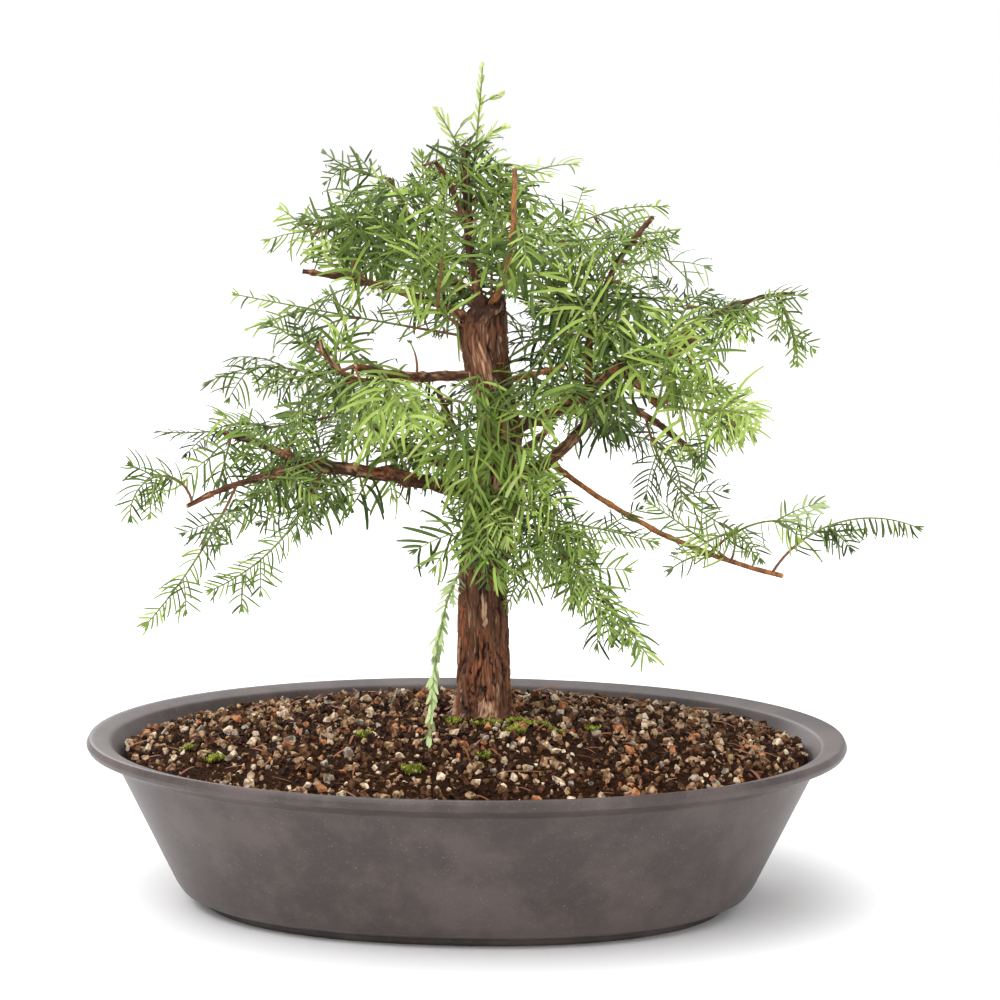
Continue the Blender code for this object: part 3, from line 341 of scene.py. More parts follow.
    ("more_a_05", "foliage_outer_left", 0.45, 211, 18, 22, -2, -32, 0, 0, 10, 0.8, 0.08, "fresh"),
    ("more_a_06", "fork_lower_left", 0.54, 7, -19, 40, 2, -81, 2, 22, 11, 0.7, 0.08, "dark"),
    ("more_a_07", "foliage_lowest_left", 0.46, 313, 70, 34, -2, -75, 1, 18, 10, 0.5, 0.08, "dark"),
    ("more_a_09", "bough_upper_left", 0.75, 65, 66, 45, 4, -19, 0, 0, 12, 0.6, 0.08, "fresh"),
    ("more_a_11", "foliage_lower_left", 0.79, 124, -69, 14, 5, -20, 0, 0, 9, 0.6, 0.08, "fresh"),
    ("more_a_12", "foliage_lowest_tip", 0.49, 258, -41, 16, 4, -33, 0, 0, 8, 0.8, 0.08, "fresh"),
    ("more_b_01", "foliage_back_low", 0.33, 91, 69, 37, 1, -43, 1, 24, 11, 0.9, 0.08, "bright"),
    ("more_b_02", "bough_back_left", 0.84, 176, 43, 31, 0, 6, 1, 21, 12, 0.7, 0.08, "fresh"),
    ("more_b_03", "bough_crown_left", 0.67, 325, 76, 21, 0, -47, 2, 15, 12, 0.8, 0.08, "fresh"),
    ("more_b_04", "bough_lowest_left", 0.38, 2, 14, 27, 3, 10, 2, 18, 8, 0.7, 0.08, "dark"),
    ("more_b_06", "bough_back_high", 0.12, 179, 5, 14, 0, 7, 0, 0, 10, 0.6, 0.08, "dark"),
    ("more_b_07", "foliage_thin_left", 0.51, 208, 5, 19, -5, -43, 2, 15, 13, 0.8, 0.08, "fresh"),
    ("more_b_08", "foliage_top", 0.1, 235, 76, 23, 2, -6, 1, 13, 13, 0.7, 0.08, "dark"),
    ("more_b_09", "foliage_crown_middle", 0.92, 346, 18, 27, -4, 3, 1, 17, 12, 0.8, 0.08, "dark"),
    ("more_c_00", "foliage_front_right", 0.38, 210, 7, 24, 3, 3, 2, 16, 12, 0.7, 0.08, "bright"),
    ("more_c_01", "foliage_dark_right", 0.44, 189, 7, 58, 2, -8, 1, 25, 12, 0.7, 0.08, "bright"),
    ("more_c_03", "bough_back_right", 0.09, 19, 32, 22, -5, 14, 2, 17, 12, 0.6, 0.08, "bright"),
    ("more_c_06", "leader_side_stub", 0.53, 333, 57, 20, 4, -51, 2, 13, 12, 0.8, 0.08, "fresh"),
    ("more_c_07", "fork_right_out", 0.17, 227, -41, 29, 0, -66, 1, 16, 13, 0.8, 0.08, "dark"),
    ("more_c_08", "foliage_low_right", 0.78, 20, -35, 16, 0, -41, 0, 0, 9, 0.5, 0.08, "bright"),
    ("more_c_09", "foliage_flat_right", 0.6, 175, -69, 32, 1, -22, 0, 0, 12, 0.5, 0.08, "fresh"),
    ("more_c_10", "foliage_behind_right", 0.35, 208, -42, 56, 0, 3, 1, 27, 14, 0.5, 0.08, "dark"),
    ("more_c_11", "upright_shoot", 0.67, 16, -44, 23, 4, -83, 2, 15, 14, 0.8, 0.08, "fresh"),
    ("more_c_12", "stub_upper_right", 0.07, 323, 66, 27, -4, -33, 2, 22, 14, 0.8, 0.08, "dark"),
    ("more_c_13", "bough_back_low", 0.77, 178, -69, 34, 5, -60, 0, 0, 12, 0.6, 0.08, "fresh"),
    ("more_c_14", "stub_upper_right", 0.48, 199, 79, 35, 0, -33, 2, 25, 12, 0.7, 0.08, "fresh"),
    ("more_c_15", "foliage_back_low", 0.19, 131, 60, 38, 1, -20, 1, 23, 11, 0.5, 0.08, "bright"),
    ("more_c_16", "foliage_front_right", 0.62, 139, 74, 41, 0, -9, 0, 0, 12, 0.6, 0.08, "dark"),
    ("more_c_17", "foliage_stub_right", 0.21, 178, 5, 21, -1, -9, 2, 15, 12, 0.5, 0.08, "fresh"),
    ("more_c_18", "foliage_behind_right", 0.35, 203, 62, 53, -1, 7, 2, 24, 14, 0.9, 0.08, "fresh"),
    ("more_c_19", "foliage_flat_right", 0.06, 20, -28, 34, -5, -5, 1, 18, 12, 0.9, 0.08, "bright"),
    ("more_d_00", "foliage_long_loop", 0.29, 219, -3, 23, -2, -26, 1, 12, 9, 0.5, 0.08, "bright"),
    ("more_d_01", "bough_far_right", 0.45, 337, 10, 26, 4, -3, 2, 18, 10, 0.5, 0.08, "fresh"),
    ("more_d_02", "foliage_low_right", 0.67, 28, -35, 24, -1, -46, 1, 17, 8, 0.5, 0.08, "fresh"),
    ("more_d_03", "foliage_long_loop", 0.63, 337, -5, 12, -2, -46, 0, 0, 10, 0.7, 0.08, "bright"),
    ("more_d_04", "shoot_long_right", 0.8, 193, 39, 38, 0, -5, 1, 20, 9, 0.6, 0.08, "fresh"),
    ("more_d_05", "foliage_right_low", 0.88, 180, -15, 22, 2, -40, 2, 13, 8, 0.7, 0.08, "dark"),
    ("more_d_06", "foliage_back_right", 0.21, 5, 21, 26, 2, -64, 0, 0, 13, 0.9, 0.08, "dark"),
    ("more_d_07", "foliage_stub_right", 0.13, 32, 14, 15, -1, -13, 0, 0, 9, 0.8, 0.08, "fresh"),
    ("more_d_08", "foliage_right_end", 0.69, 34, -1, 23, 3, -64, 1, 16, 8, 0.6, 0.08, "bright"),
    ("fill_a_00", "twig_middle_left", 0.83, 205, 29, 25, 4, 3, 1, 15, 8, 0.8, 0.08, "dark"),
    ("fill_a_01", "foliage_thin_left", 0.71, 185, -17, 25, -5, -3, 0, 0, 8, 0.7, 0.08, "bright"),
    ("fill_a_02", "bough_lowest_left", 0.46, 5, -1, 35, 3, -13, 1, 21, 9, 0.8, 0.08, "grey"),
    ("fill_a_03", "foliage_outer_left", 0.42, 0, -58, 32, -2, 8, 2, 19, 9, 0.7, 0.08, "bright"),
    ("fill_a_04", "foliage_crown_left", 0.58, 169, 38, 33, -5, -44, 1, 19, 12, 0.8, 0.08, "dark"),
    ("fill_a_05", "fork_lower_left", 0.25, 320, 70, 23, -4, -28, 2, 13, 10, 0.8, 0.08, "dark"),
    ("fill_a_07", "bough_upper_left", 0.67, 150, 57, 32, -5, -33, 1, 19, 13, 0.6, 0.08, "fresh"),
    ("fill_a_09", "bough_lowest_left", 0.29, 213, 31, 22, 4, -18, 1, 13, 9, 0.7, 0.08, "dark"),
    ("fill_b_00", "foliage_upper_left_tip", 0.79, 27, -2, 39, 0, -63, 1, 23, 13, 0.5, 0.08, "fresh"),
    ("fill_b_01", "bough_back_left", 0.79, 14, -30, 36, 4, -27, 2, 21, 12, 0.7, 0.08, "dark"),
    ("fill_b_02", "twig_middle_left", 0.71, 5, 84, 16, -3, -15, 0, 0, 12, 0.7, 0.08, "bright"),
    ("fill_b_03", "bough_back_left", 0.75, 5, -69, 28, -2, -13, 1, 16, 14, 0.6, 0.08, "bright"),
    ("fill_b_04", "foliage_outer_left", 0.12, 87, 72, 33, -5, -11, 2, 19, 14, 0.8, 0.08, "fresh"),
    ("fill_b_05", "foliage_front", 0.62, 297, -65, 23, 3, -14, 2, 13, 9, 0.9, 0.08, "dark"),
    ("fill_b_07", "bough_lower_left", 0.71, 185, -17, 18, 0, -69, 0, 0, 12, 0.8, 0.08, "bright"),
    ("fill_b_08", "foliage_upper_left_tip", 0.62, 356, 28, 43, 5, -15, 1, 25, 14, 0.8, 0.08, "dark"),
    ("fill_b_09", "foliage_crown_left_tip", 0.25, 201, 33, 13, -4, -40, 0, 0, 12, 0.6, 0.08, "dark"),
    ("fill_c_00", "foliage_front_right", 0.83, 23, 2, 26, -5, -64, 1, 15, 13, 0.8, 0.08, "dark"),
    ("fill_c_01", "foliage_flat_right", 0.46, 5, -82, 29, 4, 1, 1, 17, 12, 0.6, 0.08, "bright"),
    ("fill_c_02", "bough_back_low", 0.46, 5, -56, 29, -2, -29, 1, 17, 12, 0.5, 0.08, "bright"),
    ("fill_c_03", "foliage_back_right", 0.21, 87, 79, 47, -5, -6, 1, 28, 12, 0.6, 0.08, "fresh"),
    ("fill_c_04", "foliage_crown_left", 0.12, 344, 14, 24, -2, -48, 1, 14, 13, 0.5, 0.08, "bright"),
    ("fill_c_05", "foliage_crown_middle", 0.17, 342, -51, 35, -1, -22, 1, 21, 12, 0.8, 0.08, "bright"),
    ("fill_c_06", "foliage_top", 0.33, 5, -5, 29, -5, -68, 1, 17, 13, 0.6, 0.08, "fresh"),
    ("fill_d_00", "bough_far_right", 0.79, 356, 3, 14, 0, 0, 0, 0, 10, 0.6, 0.08, "dark"),
    ("fill_d_01", "foliage_sparse_right", 0.17, 42, -27, 34, -4, -69, 0, 0, 9, 0.8, 0.08, "fresh"),
    ("fill_d_02", "foliage_back_right", 0.83, 16, -10, 45, -4, -13, 0, 0, 9, 0.7, 0.08, "dark"),
    ("fill_d_03", "foliage_long_tip", 0.38, 19, -1, 19, -2, 4, 0, 0, 8, 0.5, 0.08, "fresh"),
    ("fill_d_04", "fork_back_right", 0.83, 43, -21, 17, 4, -64, 0, 0, 9, 0.5, 0.08, "fresh"),
    ("fill_d_05", "bough_far_right", 0.88, 5, -61, 22, 5, -16, 0, 0, 8, 0.5, 0.08, "bright"),
    ("fill_d_07", "foliage_sparse_right", 1, 22, -22, 20, 0, -39, 0, 0, 8, 0.5, 0.08, "fresh"),
    ("fill_d_09", "foliage_dark_right", 0.54, 358, 2, 26, 5, -15, 1, 15, 10, 0.6, 0.08, "fresh"),
)

# Radius of the stems and of their side sprays at foot and tip, in mm.
STEM_BASE = 0.62
STEM_TIP = 0.27
SIDE_BASE = 0.36
SIDE_TIP = 0.19
# Degrees between a stem and its side sprays.
SIDE_ANGLE = 52.0
# Steps of a bough's or a stem's path, the same as in the solids, and of a side spray's.
STEPS = 24
SIDE_STEPS = 12
# The number that every draw starts from.
SEED = 41

# The tint of a mass's needles where it isn't the plain fresh green; the dark and deep tints of the masses at
# the back are painted shade.
TINT_OF = {
    "foliage_top": "tip",
    "foliage_lowest_tip": "dark",
    "foliage_crown_left_tip": "grey",
    "foliage_upper_left_tip": "bright",
    "foliage_crown_front": "fresh",
    "foliage_shoot_tip": "bright",
    "foliage_dark_right": "dark",
    "foliage_behind_right": "dark",
    "foliage_front_right": "bright",
    "foliage_right_low": "bright",
    "foliage_sparse_right": "grey",
    "foliage_stub_right": "grey",
    "foliage_far_right": "fresh",
    "foliage_long_tip": "dark",
    "foliage_long_loop": "grey",
    "foliage_low_left": "pale",
    "foliage_outer_left": "dark",
    "foliage_fork_left": "dark",
    "foliage_back_top": "dark",
    "foliage_back_high": "dark",
    "foliage_back_right": "dark",
    "foliage_back_low": "deep",
}
# Fronds whose needles hang down from this share of their stem on.
HANGING = ("foliage_long_tip",)
HANG_FROM = 0.42
# Masses that have shed some of their needles, with the share that is missing.
THINNED = {
    "foliage_shoot_tip": 0.60,
    "foliage_thin_left": 0.45,
    "foliage_stub_right": 0.50,
    "foliage_upper_left_tip": 0.28,
    "foliage_long_loop": 0.30,
    "foliage_lowest_left": 0.16,
}
# The tints from old to young, and the next younger and older one of each.
TINTS = ("deep", "dark", "fresh", "bright", "tip", "grey", "pale")
YOUNGER = dict(zip(TINTS, ("dark", "fresh", "bright", "tip", "tip", "pale", "pale")))
OLDER = dict(zip(TINTS, ("deep", "deep", "dark", "fresh", "bright", "dark", "grey")))
# Boughs whose sawn end shows pale wood, and young shoots with orange bark.
SAWN = (
    "fork_right_down",
    "twig_middle_left",
    "shoot_long_right",
    "bough_lowest_left",
    "bough_middle_left",
    "stub_inner_right",
)
YOUNG = ("upright_shoot", "shoot_long_right", "stub_inner_right")


class Socket:
    """A socket in a node tree that takes part in sums, each of which adds its Math node."""

    def __init__(self, owner, socket):
        self.owner = owner
        self.socket = socket

    def math(self, operation, first, second=None):
        values = {0: first} if second is None else {0: first, 1: second}
        return self.owner.add(self.owner.math_kind, {"operation": operation}, values)

    def __add__(self, other):
        return self.math("ADD", self, other)

    def __radd__(self, other):
        return self.math("ADD", other, self)

    def __sub__(self, other):
        return self.math("SUBTRACT", self, other)

    def __rsub__(self, other):
        return self.math("SUBTRACT", other, self)

    def __mul__(self, other):
        return self.math("MULTIPLY", self, other)

    def __rmul__(self, other):
        return self.math("MULTIPLY", other, self)

    def between(self, low, high):
        """0 below low, 1 above high, and smooth from one to the other."""
        return self.owner.add(
            "ShaderNodeMapRange",
            {"interpolation_type": "SMOOTHSTEP"},
            {"Value": self, "From Min": low, "From Max": high, "To Min": 0.0, "To Max": 1.0},
        )


class Tree:
    """Adds nodes to a node tree: settings first, then the values or links of the sockets."""

    math_kind = "ShaderNodeMath"

    def __init__(self, tree):
        self.tree = tree

    def add(self, kind, settings=None, sockets=None, output=0):
        node = self.tree.nodes.new(kind)
        for key, value in (settings or {}).items():
            setattr(node, key, value)
        for key, value in (sockets or {}).items():
            self.feed(node.inputs[key], value)
        return Socket(self, node.outputs[output])

    def feed(self, socket, value):
        if isinstance(value, Socket):
            self.tree.links.new(value.socket, socket)
        else:
            socket.default_value = value


class Finish(Tree):
    """One material: a Principled shader and what varies over it."""

    def __init__(self, name, **constants):
        self.material = bpy.data.materials.new(name)
        self.material.use_nodes = True
        super().__init__(self.material.node_tree)
        self.shader = self.tree.nodes["Principled BSDF"]
        self.place = None
        for key, value in constants.items():
            self.shader.inputs[key.replace("_", " ")].default_value = value

    def set(self, name, value):
        self.feed(self.shader.inputs[name], value)

    def spot(self, stretch=(1.0, 1.0, 1.0)):
        """Object coordinates in millimetres, stretched along the axes."""
        if self.place is None:
            self.place = self.add("ShaderNodeTexCoord", output="Object")
        scale = tuple(1000.0 * s for s in stretch)
        return self.add("ShaderNodeMapping", None, {"Vector": self.place, "Scale": scale})

    def cloud(self, size, stretch=(1.0, 1.0, 1.0), detail=3.0, rough=0.55):
        """Noise whose lumps are about size millimetres wide."""
        return self.add(
            "ShaderNodeTexNoise",
            None,
            {"Vector": self.spot(stretch), "Scale": 1.0 / size, "Detail": detail, "Roughness": rough},
        )

    def relief(self, name):
        """A value kept on the mesh's own points."""
        return self.add("ShaderNodeAttribute", {"attribute_name": name}, None, "Fac")

    def blend(self, share, first, second):
        node = self.tree.nodes.new("ShaderNodeMix")
        node.data_type = "RGBA"
        self.feed(node.inputs[0], share)
        for socket, value in ((node.inputs[6], first), (node.inputs[7], second)):
            self.feed(socket, value if isinstance(value, Socket) else (*tuple(value)[:3], 1.0))
        return Socket(self, node.outputs[2])

    def bump(self, height, strength, distance):
        sockets = {"Height": height, "Strength": strength, "Distance": distance}
        self.set("Normal", self.add("ShaderNodeBump", None, sockets))


class Recipe(Tree):
    """One Geometry Nodes tree with named inputs."""

    def __init__(self, name, inputs):
        group = bpy.data.node_groups.new(name, "GeometryNodeTree")
        group.interface.new_socket("Geometry", in_out="INPUT", socket_type="NodeSocketGeometry")
        for label, kind in inputs:
            group.interface.new_socket(label, in_out="INPUT", socket_type=kind)
        group.interface.new_socket("Geometry", in_out="OUTPUT", socket_type="NodeSocketGeometry")
        super().__init__(group)
        self.entry = group.nodes.new("NodeGroupInput")
        self.exit = group.nodes.new("NodeGroupOutput")

    def input(self, label):
        return Socket(self, self.entry.outputs[label])

    def shapes(self):
        """The shapes of the input collection, to pick from."""
        picked = {"Collection": self.input("Shapes"), "Separate Children": True, "Reset Children": True}
        return self.add("GeometryNodeCollectionInfo", None, picked)

    def end(self, instances):
        """Makes the instances real, gives them their finish and closes the tree."""
        real = self.add("GeometryNodeRealizeInstances", None, {"Geometry": instances})
        done = self.add("GeometryNodeSetMaterial", None, {"Geometry": real, "Material": self.input("Finish")})
        self.feed(self.exit.inputs[0], done)

    def run(self, name, source, values):
        """Runs the tree on a source object and returns the result as a plain mesh object."""
        modifier = source.modifiers.new(name, "NODES")
        modifier.node_group = self.tree
        for item in self.tree.interface.items_tree:
            if item.in_out == "INPUT" and item.name in values:
                modifier[item.identifier] = values[item.name]
        graph = bpy.context.evaluated_depsgraph_get()
        mesh = bpy.data.meshes.new_from_object(source.evaluated_get(graph))
        source.modifiers.remove(modifier)
        mesh.name = name
        if not mesh.vertices:
            raise RuntimeError(name + " came out empty")
        return add_piece(name, mesh, values["Finish"])


def put(name, data, home=None):
    """A new object in a collection, or else in the scene's own."""
    thing = bpy.data.objects.new(name, data)
    (home or bpy.context.scene.collection).objects.link(thing)
    return thing


def add_piece(name, mesh, material, node_names=()):
    """Links a finished mesh as a piece that rides on the tree's one body."""
    piece = put(name, mesh)
    mesh.materials.clear()
    mesh.materials.append(material)
    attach(piece, BODY)
    if node_names:
        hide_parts(*node_names)
    return piece


def discard(*things):
    """Removes helper objects and their meshes."""
    for thing in things:
        data = thing.data
        bpy.data.objects.remove(thing, do_unlink=True)
        if data.users == 0:
            bpy.data.meshes.remove(data)


def mesh_of(name, points, faces, smooth=True, values=None):
    mesh = bpy.data.meshes.new(name)
    mesh.from_pydata(np.asarray(points).tolist(), [], [list(face) for face in faces])
    mesh.polygons.foreach_set("use_smooth", [smooth] * len(mesh.polygons))
    for key, numbers in (values or {}).items():
        layer = mesh.attributes.new(key, "FLOAT", "POINT")
        layer.data.foreach_set("value", np.asarray(numbers, dtype=np.float32))
    mesh.update()
    return mesh


def ring_faces(levels, count, start=0):
    """Quads between rings of equal count, outwards where the rings run anticlockwise and upwards."""
    faces = []
    for level in range(levels - 1):
        low, high = start + level * count, start + (level + 1) * count
        for i in range(count):
            j = (i + 1) % count
            faces.append((low + i, low + j, high + j, high + i))
    return faces


def cap_faces(count, sides):
    """Triangles that close both ends of a tube with count points in its rings, then a point for each end."""
    faces = []
    for i in range(sides):
        j = (i + 1) % sides
        faces += [(j, i, count), (count - sides + i, count - sides + j, count + 1)]
    return faces


def angles(count):
    return 2.0 * np.pi * np.arange(count) / count


def smooth_step(values, low, high):
    """0 at low, 1 at high, and smooth from one to the other."""
    share = np.clip((np.asarray(values) - low) / (high - low), 0.0, 1.0)
    return share * share * (3.0 - 2.0 * share)


def ring_of(half_width, half_depth, height, square, count, middle=(0.0, 0.0)):
    """One rounded oval, sizes in mm."""
    angle = angles(count)
    c, s = np.cos(angle), np.sin(angle)
    x = np.sign(c) * np.abs(c) ** (2.0 / square) * half_width + middle[0]
    y = np.sign(s) * np.abs(s) ** (2.0 / square) * half_depth + middle[1]
    return np.stack([x, y, np.full(count, height)], axis=-1) * MM


def grow_path(start, heading, rise, length, turn, lift, steps=STEPS):
    """Points of a limb that sets out at a heading and a rise and bends evenly. Length in metres."""
    middle = (np.arange(steps) + 0.5) / steps
    flat = np.radians(heading + turn * middle)
    up = np.radians(rise + lift * middle)
    step = np.stack([np.cos(up) * np.cos(flat), np.cos(up) * np.sin(flat), np.sin(up)], axis=-1)
    walked = np.cumsum(step * length / steps, axis=0)
    return np.concatenate([[start], np.asarray(start) + walked])


def trunk_point(height):
    """The middle of the trunk at a height in mm."""
    heights = [row[0] for row in TRUNK_RINGS]
    offset = np.interp(height, heights, [row[1] for row in TRUNK_RINGS])
    return np.array([offset, TRUNK_BACK, height]) * MM


def path_point(path, share):
    """The point of a path that is nearest to a share of its length."""
    return path[int(round(share * (len(path) - 1)))]


def walk(path):
    """Length walked along a path at each of its points."""
    return np.concatenate([[0.0], np.cumsum(np.linalg.norm(np.diff(path, axis=0), axis=1))])


def resample(path, gap):
    """The same path with even steps of about gap metres."""
    walked = walk(path)
    count = max(3, int(round(walked[-1] / gap)) + 1)
    places = np.linspace(0.0, walked[-1], count)
    return np.stack([np.interp(places, walked, path[:, i]) for i in range(3)], axis=-1)


def frames_along(path):
    """Two directions across the path at each point, carried along without twist."""
    along = np.gradient(path, axis=0)
    along /= np.linalg.norm(along, axis=1)[:, None]
    first = np.cross(along[0], (0.0, 0.0, 1.0) if abs(along[0][2]) < 0.9 else (1.0, 0.0, 0.0))
    across = [first / np.linalg.norm(first)]
    for way in along[1:]:
        side = across[-1] - way * np.dot(across[-1], way)
        across.append(side / np.linalg.norm(side))
    across = np.array(across)
    return along, across, np.cross(along, across)


def tube_of(path, radii, sides, swell=None):
    """Points and faces of a closed tube. swell adds to the radius, one row for each ring."""
    along, across, over = frames_along(path)
    angle = angles(sides)
    wide = np.asarray(radii)[:, None] + (0.0 if swell is None else swell)
    wide = np.broadcast_to(wide, (len(path), sides))
    points = path[:, None] + across[:, None] * (np.cos(angle) * wide)[..., None]
    points = (points + over[:, None] * (np.sin(angle) * wide)[..., None]).reshape(-1, 3)
    faces = ring_faces(len(path), sides) + cap_faces(len(points), sides)
    return np.concatenate([points, [path[0], path[-1]]]), faces


class Parts:
    """Gathers the points and faces of many small shapes for one joined mesh."""

    def __init__(self):
        self.points = []
        self.faces = []
        self.values = {}
        self.count = 0

    def add(self, points, faces, **values):
        base = self.count
        self.points.append(np.asarray(points))
        self.faces.extend(tuple(base + i for i in face) for face in faces)
        self.count += len(points)
        for key, numbers in values.items():
            self.values.setdefault(key, []).append(np.asarray(numbers))

    def mesh(self, name, smooth=True):
        values = {key: np.concatenate(numbers) for key, numbers in self.values.items()}
        return mesh_of(name, np.concatenate(self.points), self.faces, smooth, values)


def bark_relief(ring_x, ring_y, along, coarse, start):
    """Relief in mm, the painted shade in its cracks, and how pale and how red the bark is, from 0 to 1.

    The points lie on a limb laid straight, with sizes in mm. coarse is the size of the plates
    against the trunk's, and start is where on the pattern the limb begins.
    """
    out = np.empty((len(ring_x), 7))
    read = noise.noise
    for i, (x, y, z) in enumerate(zip(ring_x.tolist(), ring_y.tolist(), along.tolist())):
        z += start
        bend = read(Vector((x * 0.10, y * 0.10, z * 0.045))) * 3.6 * coarse
        rough = read(Vector((x * 0.85 / coarse, y * 0.85 / coarse, z * 0.30 / coarse))) * 1.1 * coarse
        wide, tall = PLATE[0] * coarse, PLATE[1] * coarse
        spot = Vector(((x + bend + rough) / wide, (y - bend + rough) / wide, (z + 5.0 * rough) / tall))
        far, nearest = noise.voronoi(spot)
        plate = noise.cell(nearest[0] * 31.7)
        red = noise.cell(nearest[0] * 17.3 + Vector((5.0, 9.0, 2.0)))
        tilt = spot.z - nearest[0].z
        wide, tall = SPLIT[0] * coarse, SPLIT[1] * coarse
        split = abs(read(Vector((x / wide, y / wide + 3.3, (z + bend) / tall))))
        wide, tall = FIBRE[0] * coarse, FIBRE[1] * coarse
        fibre = read(Vector((x / wide, y / wide, z / tall)))
        gape = read(Vector((x * 0.11 + 7.0, y * 0.11, z * 0.05)))
        out[i] = plate, far[1] - far[0], tilt, split, fibre, red, gape
    plate, border, tilt, split, fibre, red, gape = out.T
    deep = (1.0 - smooth_step(border, 0.0, 0.21)) * np.clip(0.60 + 1.3 * gape, 0.15, 1.0)
    fine = 1.0 - smooth_step(split, 0.0, 0.15)
    relief = coarse * (0.55 * plate - 0.70 * tilt - 1.25 * deep - 0.50 * fine + 0.38 * fibre)
    # Painted shade: how dark the cracks and splits are painted.
    shade = np.clip(0.95 * deep + 0.55 * fine - 0.35 * fibre, 0.0, 1.0)
    pale = smooth_step(plate + 0.80 * fibre - 0.4 * tilt, 0.38, 0.98) * (1.0 - shade)
    warm = smooth_step(red + 0.50 * fibre, 0.30, 0.85) * (1.0 - shade)
    return relief, shade, pale, warm


def mound_share(x, y):
    """How far up the mound a place lies: 0 at the soil's edge and 1 at the trunk. Sizes in mm."""
    half_width, half_depth, edge, square = SOIL_EDGE
    out = (np.abs(x) / half_width) ** square + (np.abs(y) / half_depth) ** square
    away = out ** (1.0 / square)
    return np.clip((1.0 - away) / (1.0 - MOUND_TOP / half_width), 0.0, 1.0)


def mound_height(x, y):
    """Height of the soil's surface in mm."""
    share = mound_share(x, y)
    return SOIL_EDGE[2] + MOUND_RISE * (1.0 - (1.0 - share) ** 2)


def colour(name, what, value):
    return bpy.props.FloatVectorProperty(
        name=name, description=what, default=value, subtype="COLOR", size=3, min=0.0, max=1.0
    )


def number(name, what, value, **kind):
    return bpy.props.FloatProperty(name=name, description=what, default=value, min=0.0, **kind)


def length(name, what, value):
    return number(name, what, value, unit="LENGTH", precision=5)


def dimmed(tone, share):
    """A colour with each of its parts multiplied by share."""
    return tuple(share * part for part in tone)


class PotSettings(bpy.types.PropertyGroup):
    wall: colour("Wall", "Colour of the pot's matt clay", (0.0475, 0.0330, 0.0300))
    worn: colour("Worn", "Colour of its paler, dusty places", (0.108, 0.081, 0.075))
    speck: colour("Specks", "Colour of the fine specks in it", (0.30, 0.26, 0.24))
    sides: bpy.props.IntProperty(
        name="Sides", description="Sides of the oval before smoothing", default=96, min=24, max=120
    )
    edge: length("Edge", "How far each edge is rounded", 0.0011)


class SoilSettings(bpy.types.PropertyGroup):
    bed: colour("Bed", "Colour of the damp soil", (0.034, 0.012, 0.004))
    fines: length("Fines", "Least distance between crumbs", 0.0019)
    spacing: length("Spacing", "Least distance between stones", 0.0033)
    least: length("Smallest stone", "Length of the smallest stone", 0.0024)
    most: length("Largest stone", "Length of the largest stone", 0.0076)
    moss: colour("Moss", "Colour of the moss", (0.40, 0.46, 0.055))


class BarkSettings(bpy.types.PropertyGroup):
    brown: colour("Bark", "Colour of the trunk's bark", (0.240, 0.096, 0.046))
    tan: colour("Pale bark", "Colour of its worn plates", (0.660, 0.410, 0.260))
    red: colour("Red bark", "Colour of its fresh inner strips", (0.360, 0.105, 0.040))
    # Cracks: colour of the painted shade deep in the bark's cracks; a little lighter, it also paints the
    # trunk's darker top and the shade on its right side.
    crack_shade: colour("Cracks", "Colour deep in its cracks", (0.014, 0.005, 0.003))
    bough: colour("Bough", "Colour of the boughs' bark", (0.120, 0.050, 0.024))
    flake: colour("Flakes", "Colour of the boughs' loose bark", (0.470, 0.260, 0.140))
    shoot: colour("Shoot", "Colour of a young shoot's bark", (0.480, 0.165, 0.040))
    wood: colour("Sawn wood", "Colour of a sawn end", (0.640, 0.430, 0.210))
    gap: length("Step", "Length of one step of the trunk's mesh", 0.00042)


class FoliageSettings(bpy.types.PropertyGroup):
    # Deep and dark: partly the older needles' own darker greens, dealt out at random, and partly painted
    # shade on masses at the back, inside and under the crown.
    deep: colour("Deep", "Needles deep in the crown", (0.030, 0.056, 0.008))
    dark: colour("Dark", "Older needles", (0.073, 0.123, 0.018))
    fresh: colour("Fresh", "Most needles", (0.174, 0.264, 0.040))
    bright: colour("Bright", "This year's needles", (0.328, 0.450, 0.088))
    tip: colour("Tips", "Needles at the growing tips", (0.480, 0.570, 0.180))
    grey: colour("Shaded", "Thin, grey-green needles", (0.160, 0.205, 0.085))
    pale: colour("Pale", "Pale hanging needles", (0.370, 0.470, 0.210))
    twig: colour("Green twig", "Colour of the green twigs", (0.180, 0.240, 0.045))
    brown: colour("Brown twig", "Colour of the woody twigs", (0.220, 0.090, 0.036))
    width: length("Needle width", "Width of a needle", 0.00100)
    pitch: length("Needle step", "Distance between pairs of needles", 0.0026)


class StageSettings(bpy.types.PropertyGroup):
    floor: colour("Floor", "Colour of the plain floor", (0.96, 0.96, 0.96))
    reach: length("Floor radius", "Radius of the floor", 9.0)
    sky: number("Sky", "Strength of the even light all round", 0.86)
    day: number("Day", "Strength of the broad light from above", 1.75)
    key: number("Key", "Power of the large light in front", 8.0, unit="POWER")


def clay_finish(settings):
    made = Finish("taupe_clay", Metallic=0.0, Specular_IOR_Level=0.50)
    broad = made.cloud(30.0, detail=5.0, rough=0.6)
    grain = made.cloud(0.8, detail=2.0)
    dust = made.cloud(5.0, detail=8.0, rough=0.75)
    scuff = made.cloud(9.0, stretch=(1.0, 1.0, 2.8), detail=8.0, rough=0.75).between(0.60, 0.74)
    base = made.blend(broad.between(0.38, 0.66) * 0.70, settings.wall, settings.worn)
    base = made.blend(dust.between(0.50, 0.66) * 0.28, base, settings.worn)
    base = made.blend(scuff * 0.60, base, settings.worn)
    base = made.blend(grain.between(0.64, 0.76) * 0.42, base, settings.speck)
    made.set("Base Color", base)
    made.set("Roughness", 0.30 + broad * 0.14 + grain * 0.06 - scuff * 0.06)
    made.bump(grain * 0.6 + dust * 0.7 + broad, 0.16, 0.0004)
    return made.material


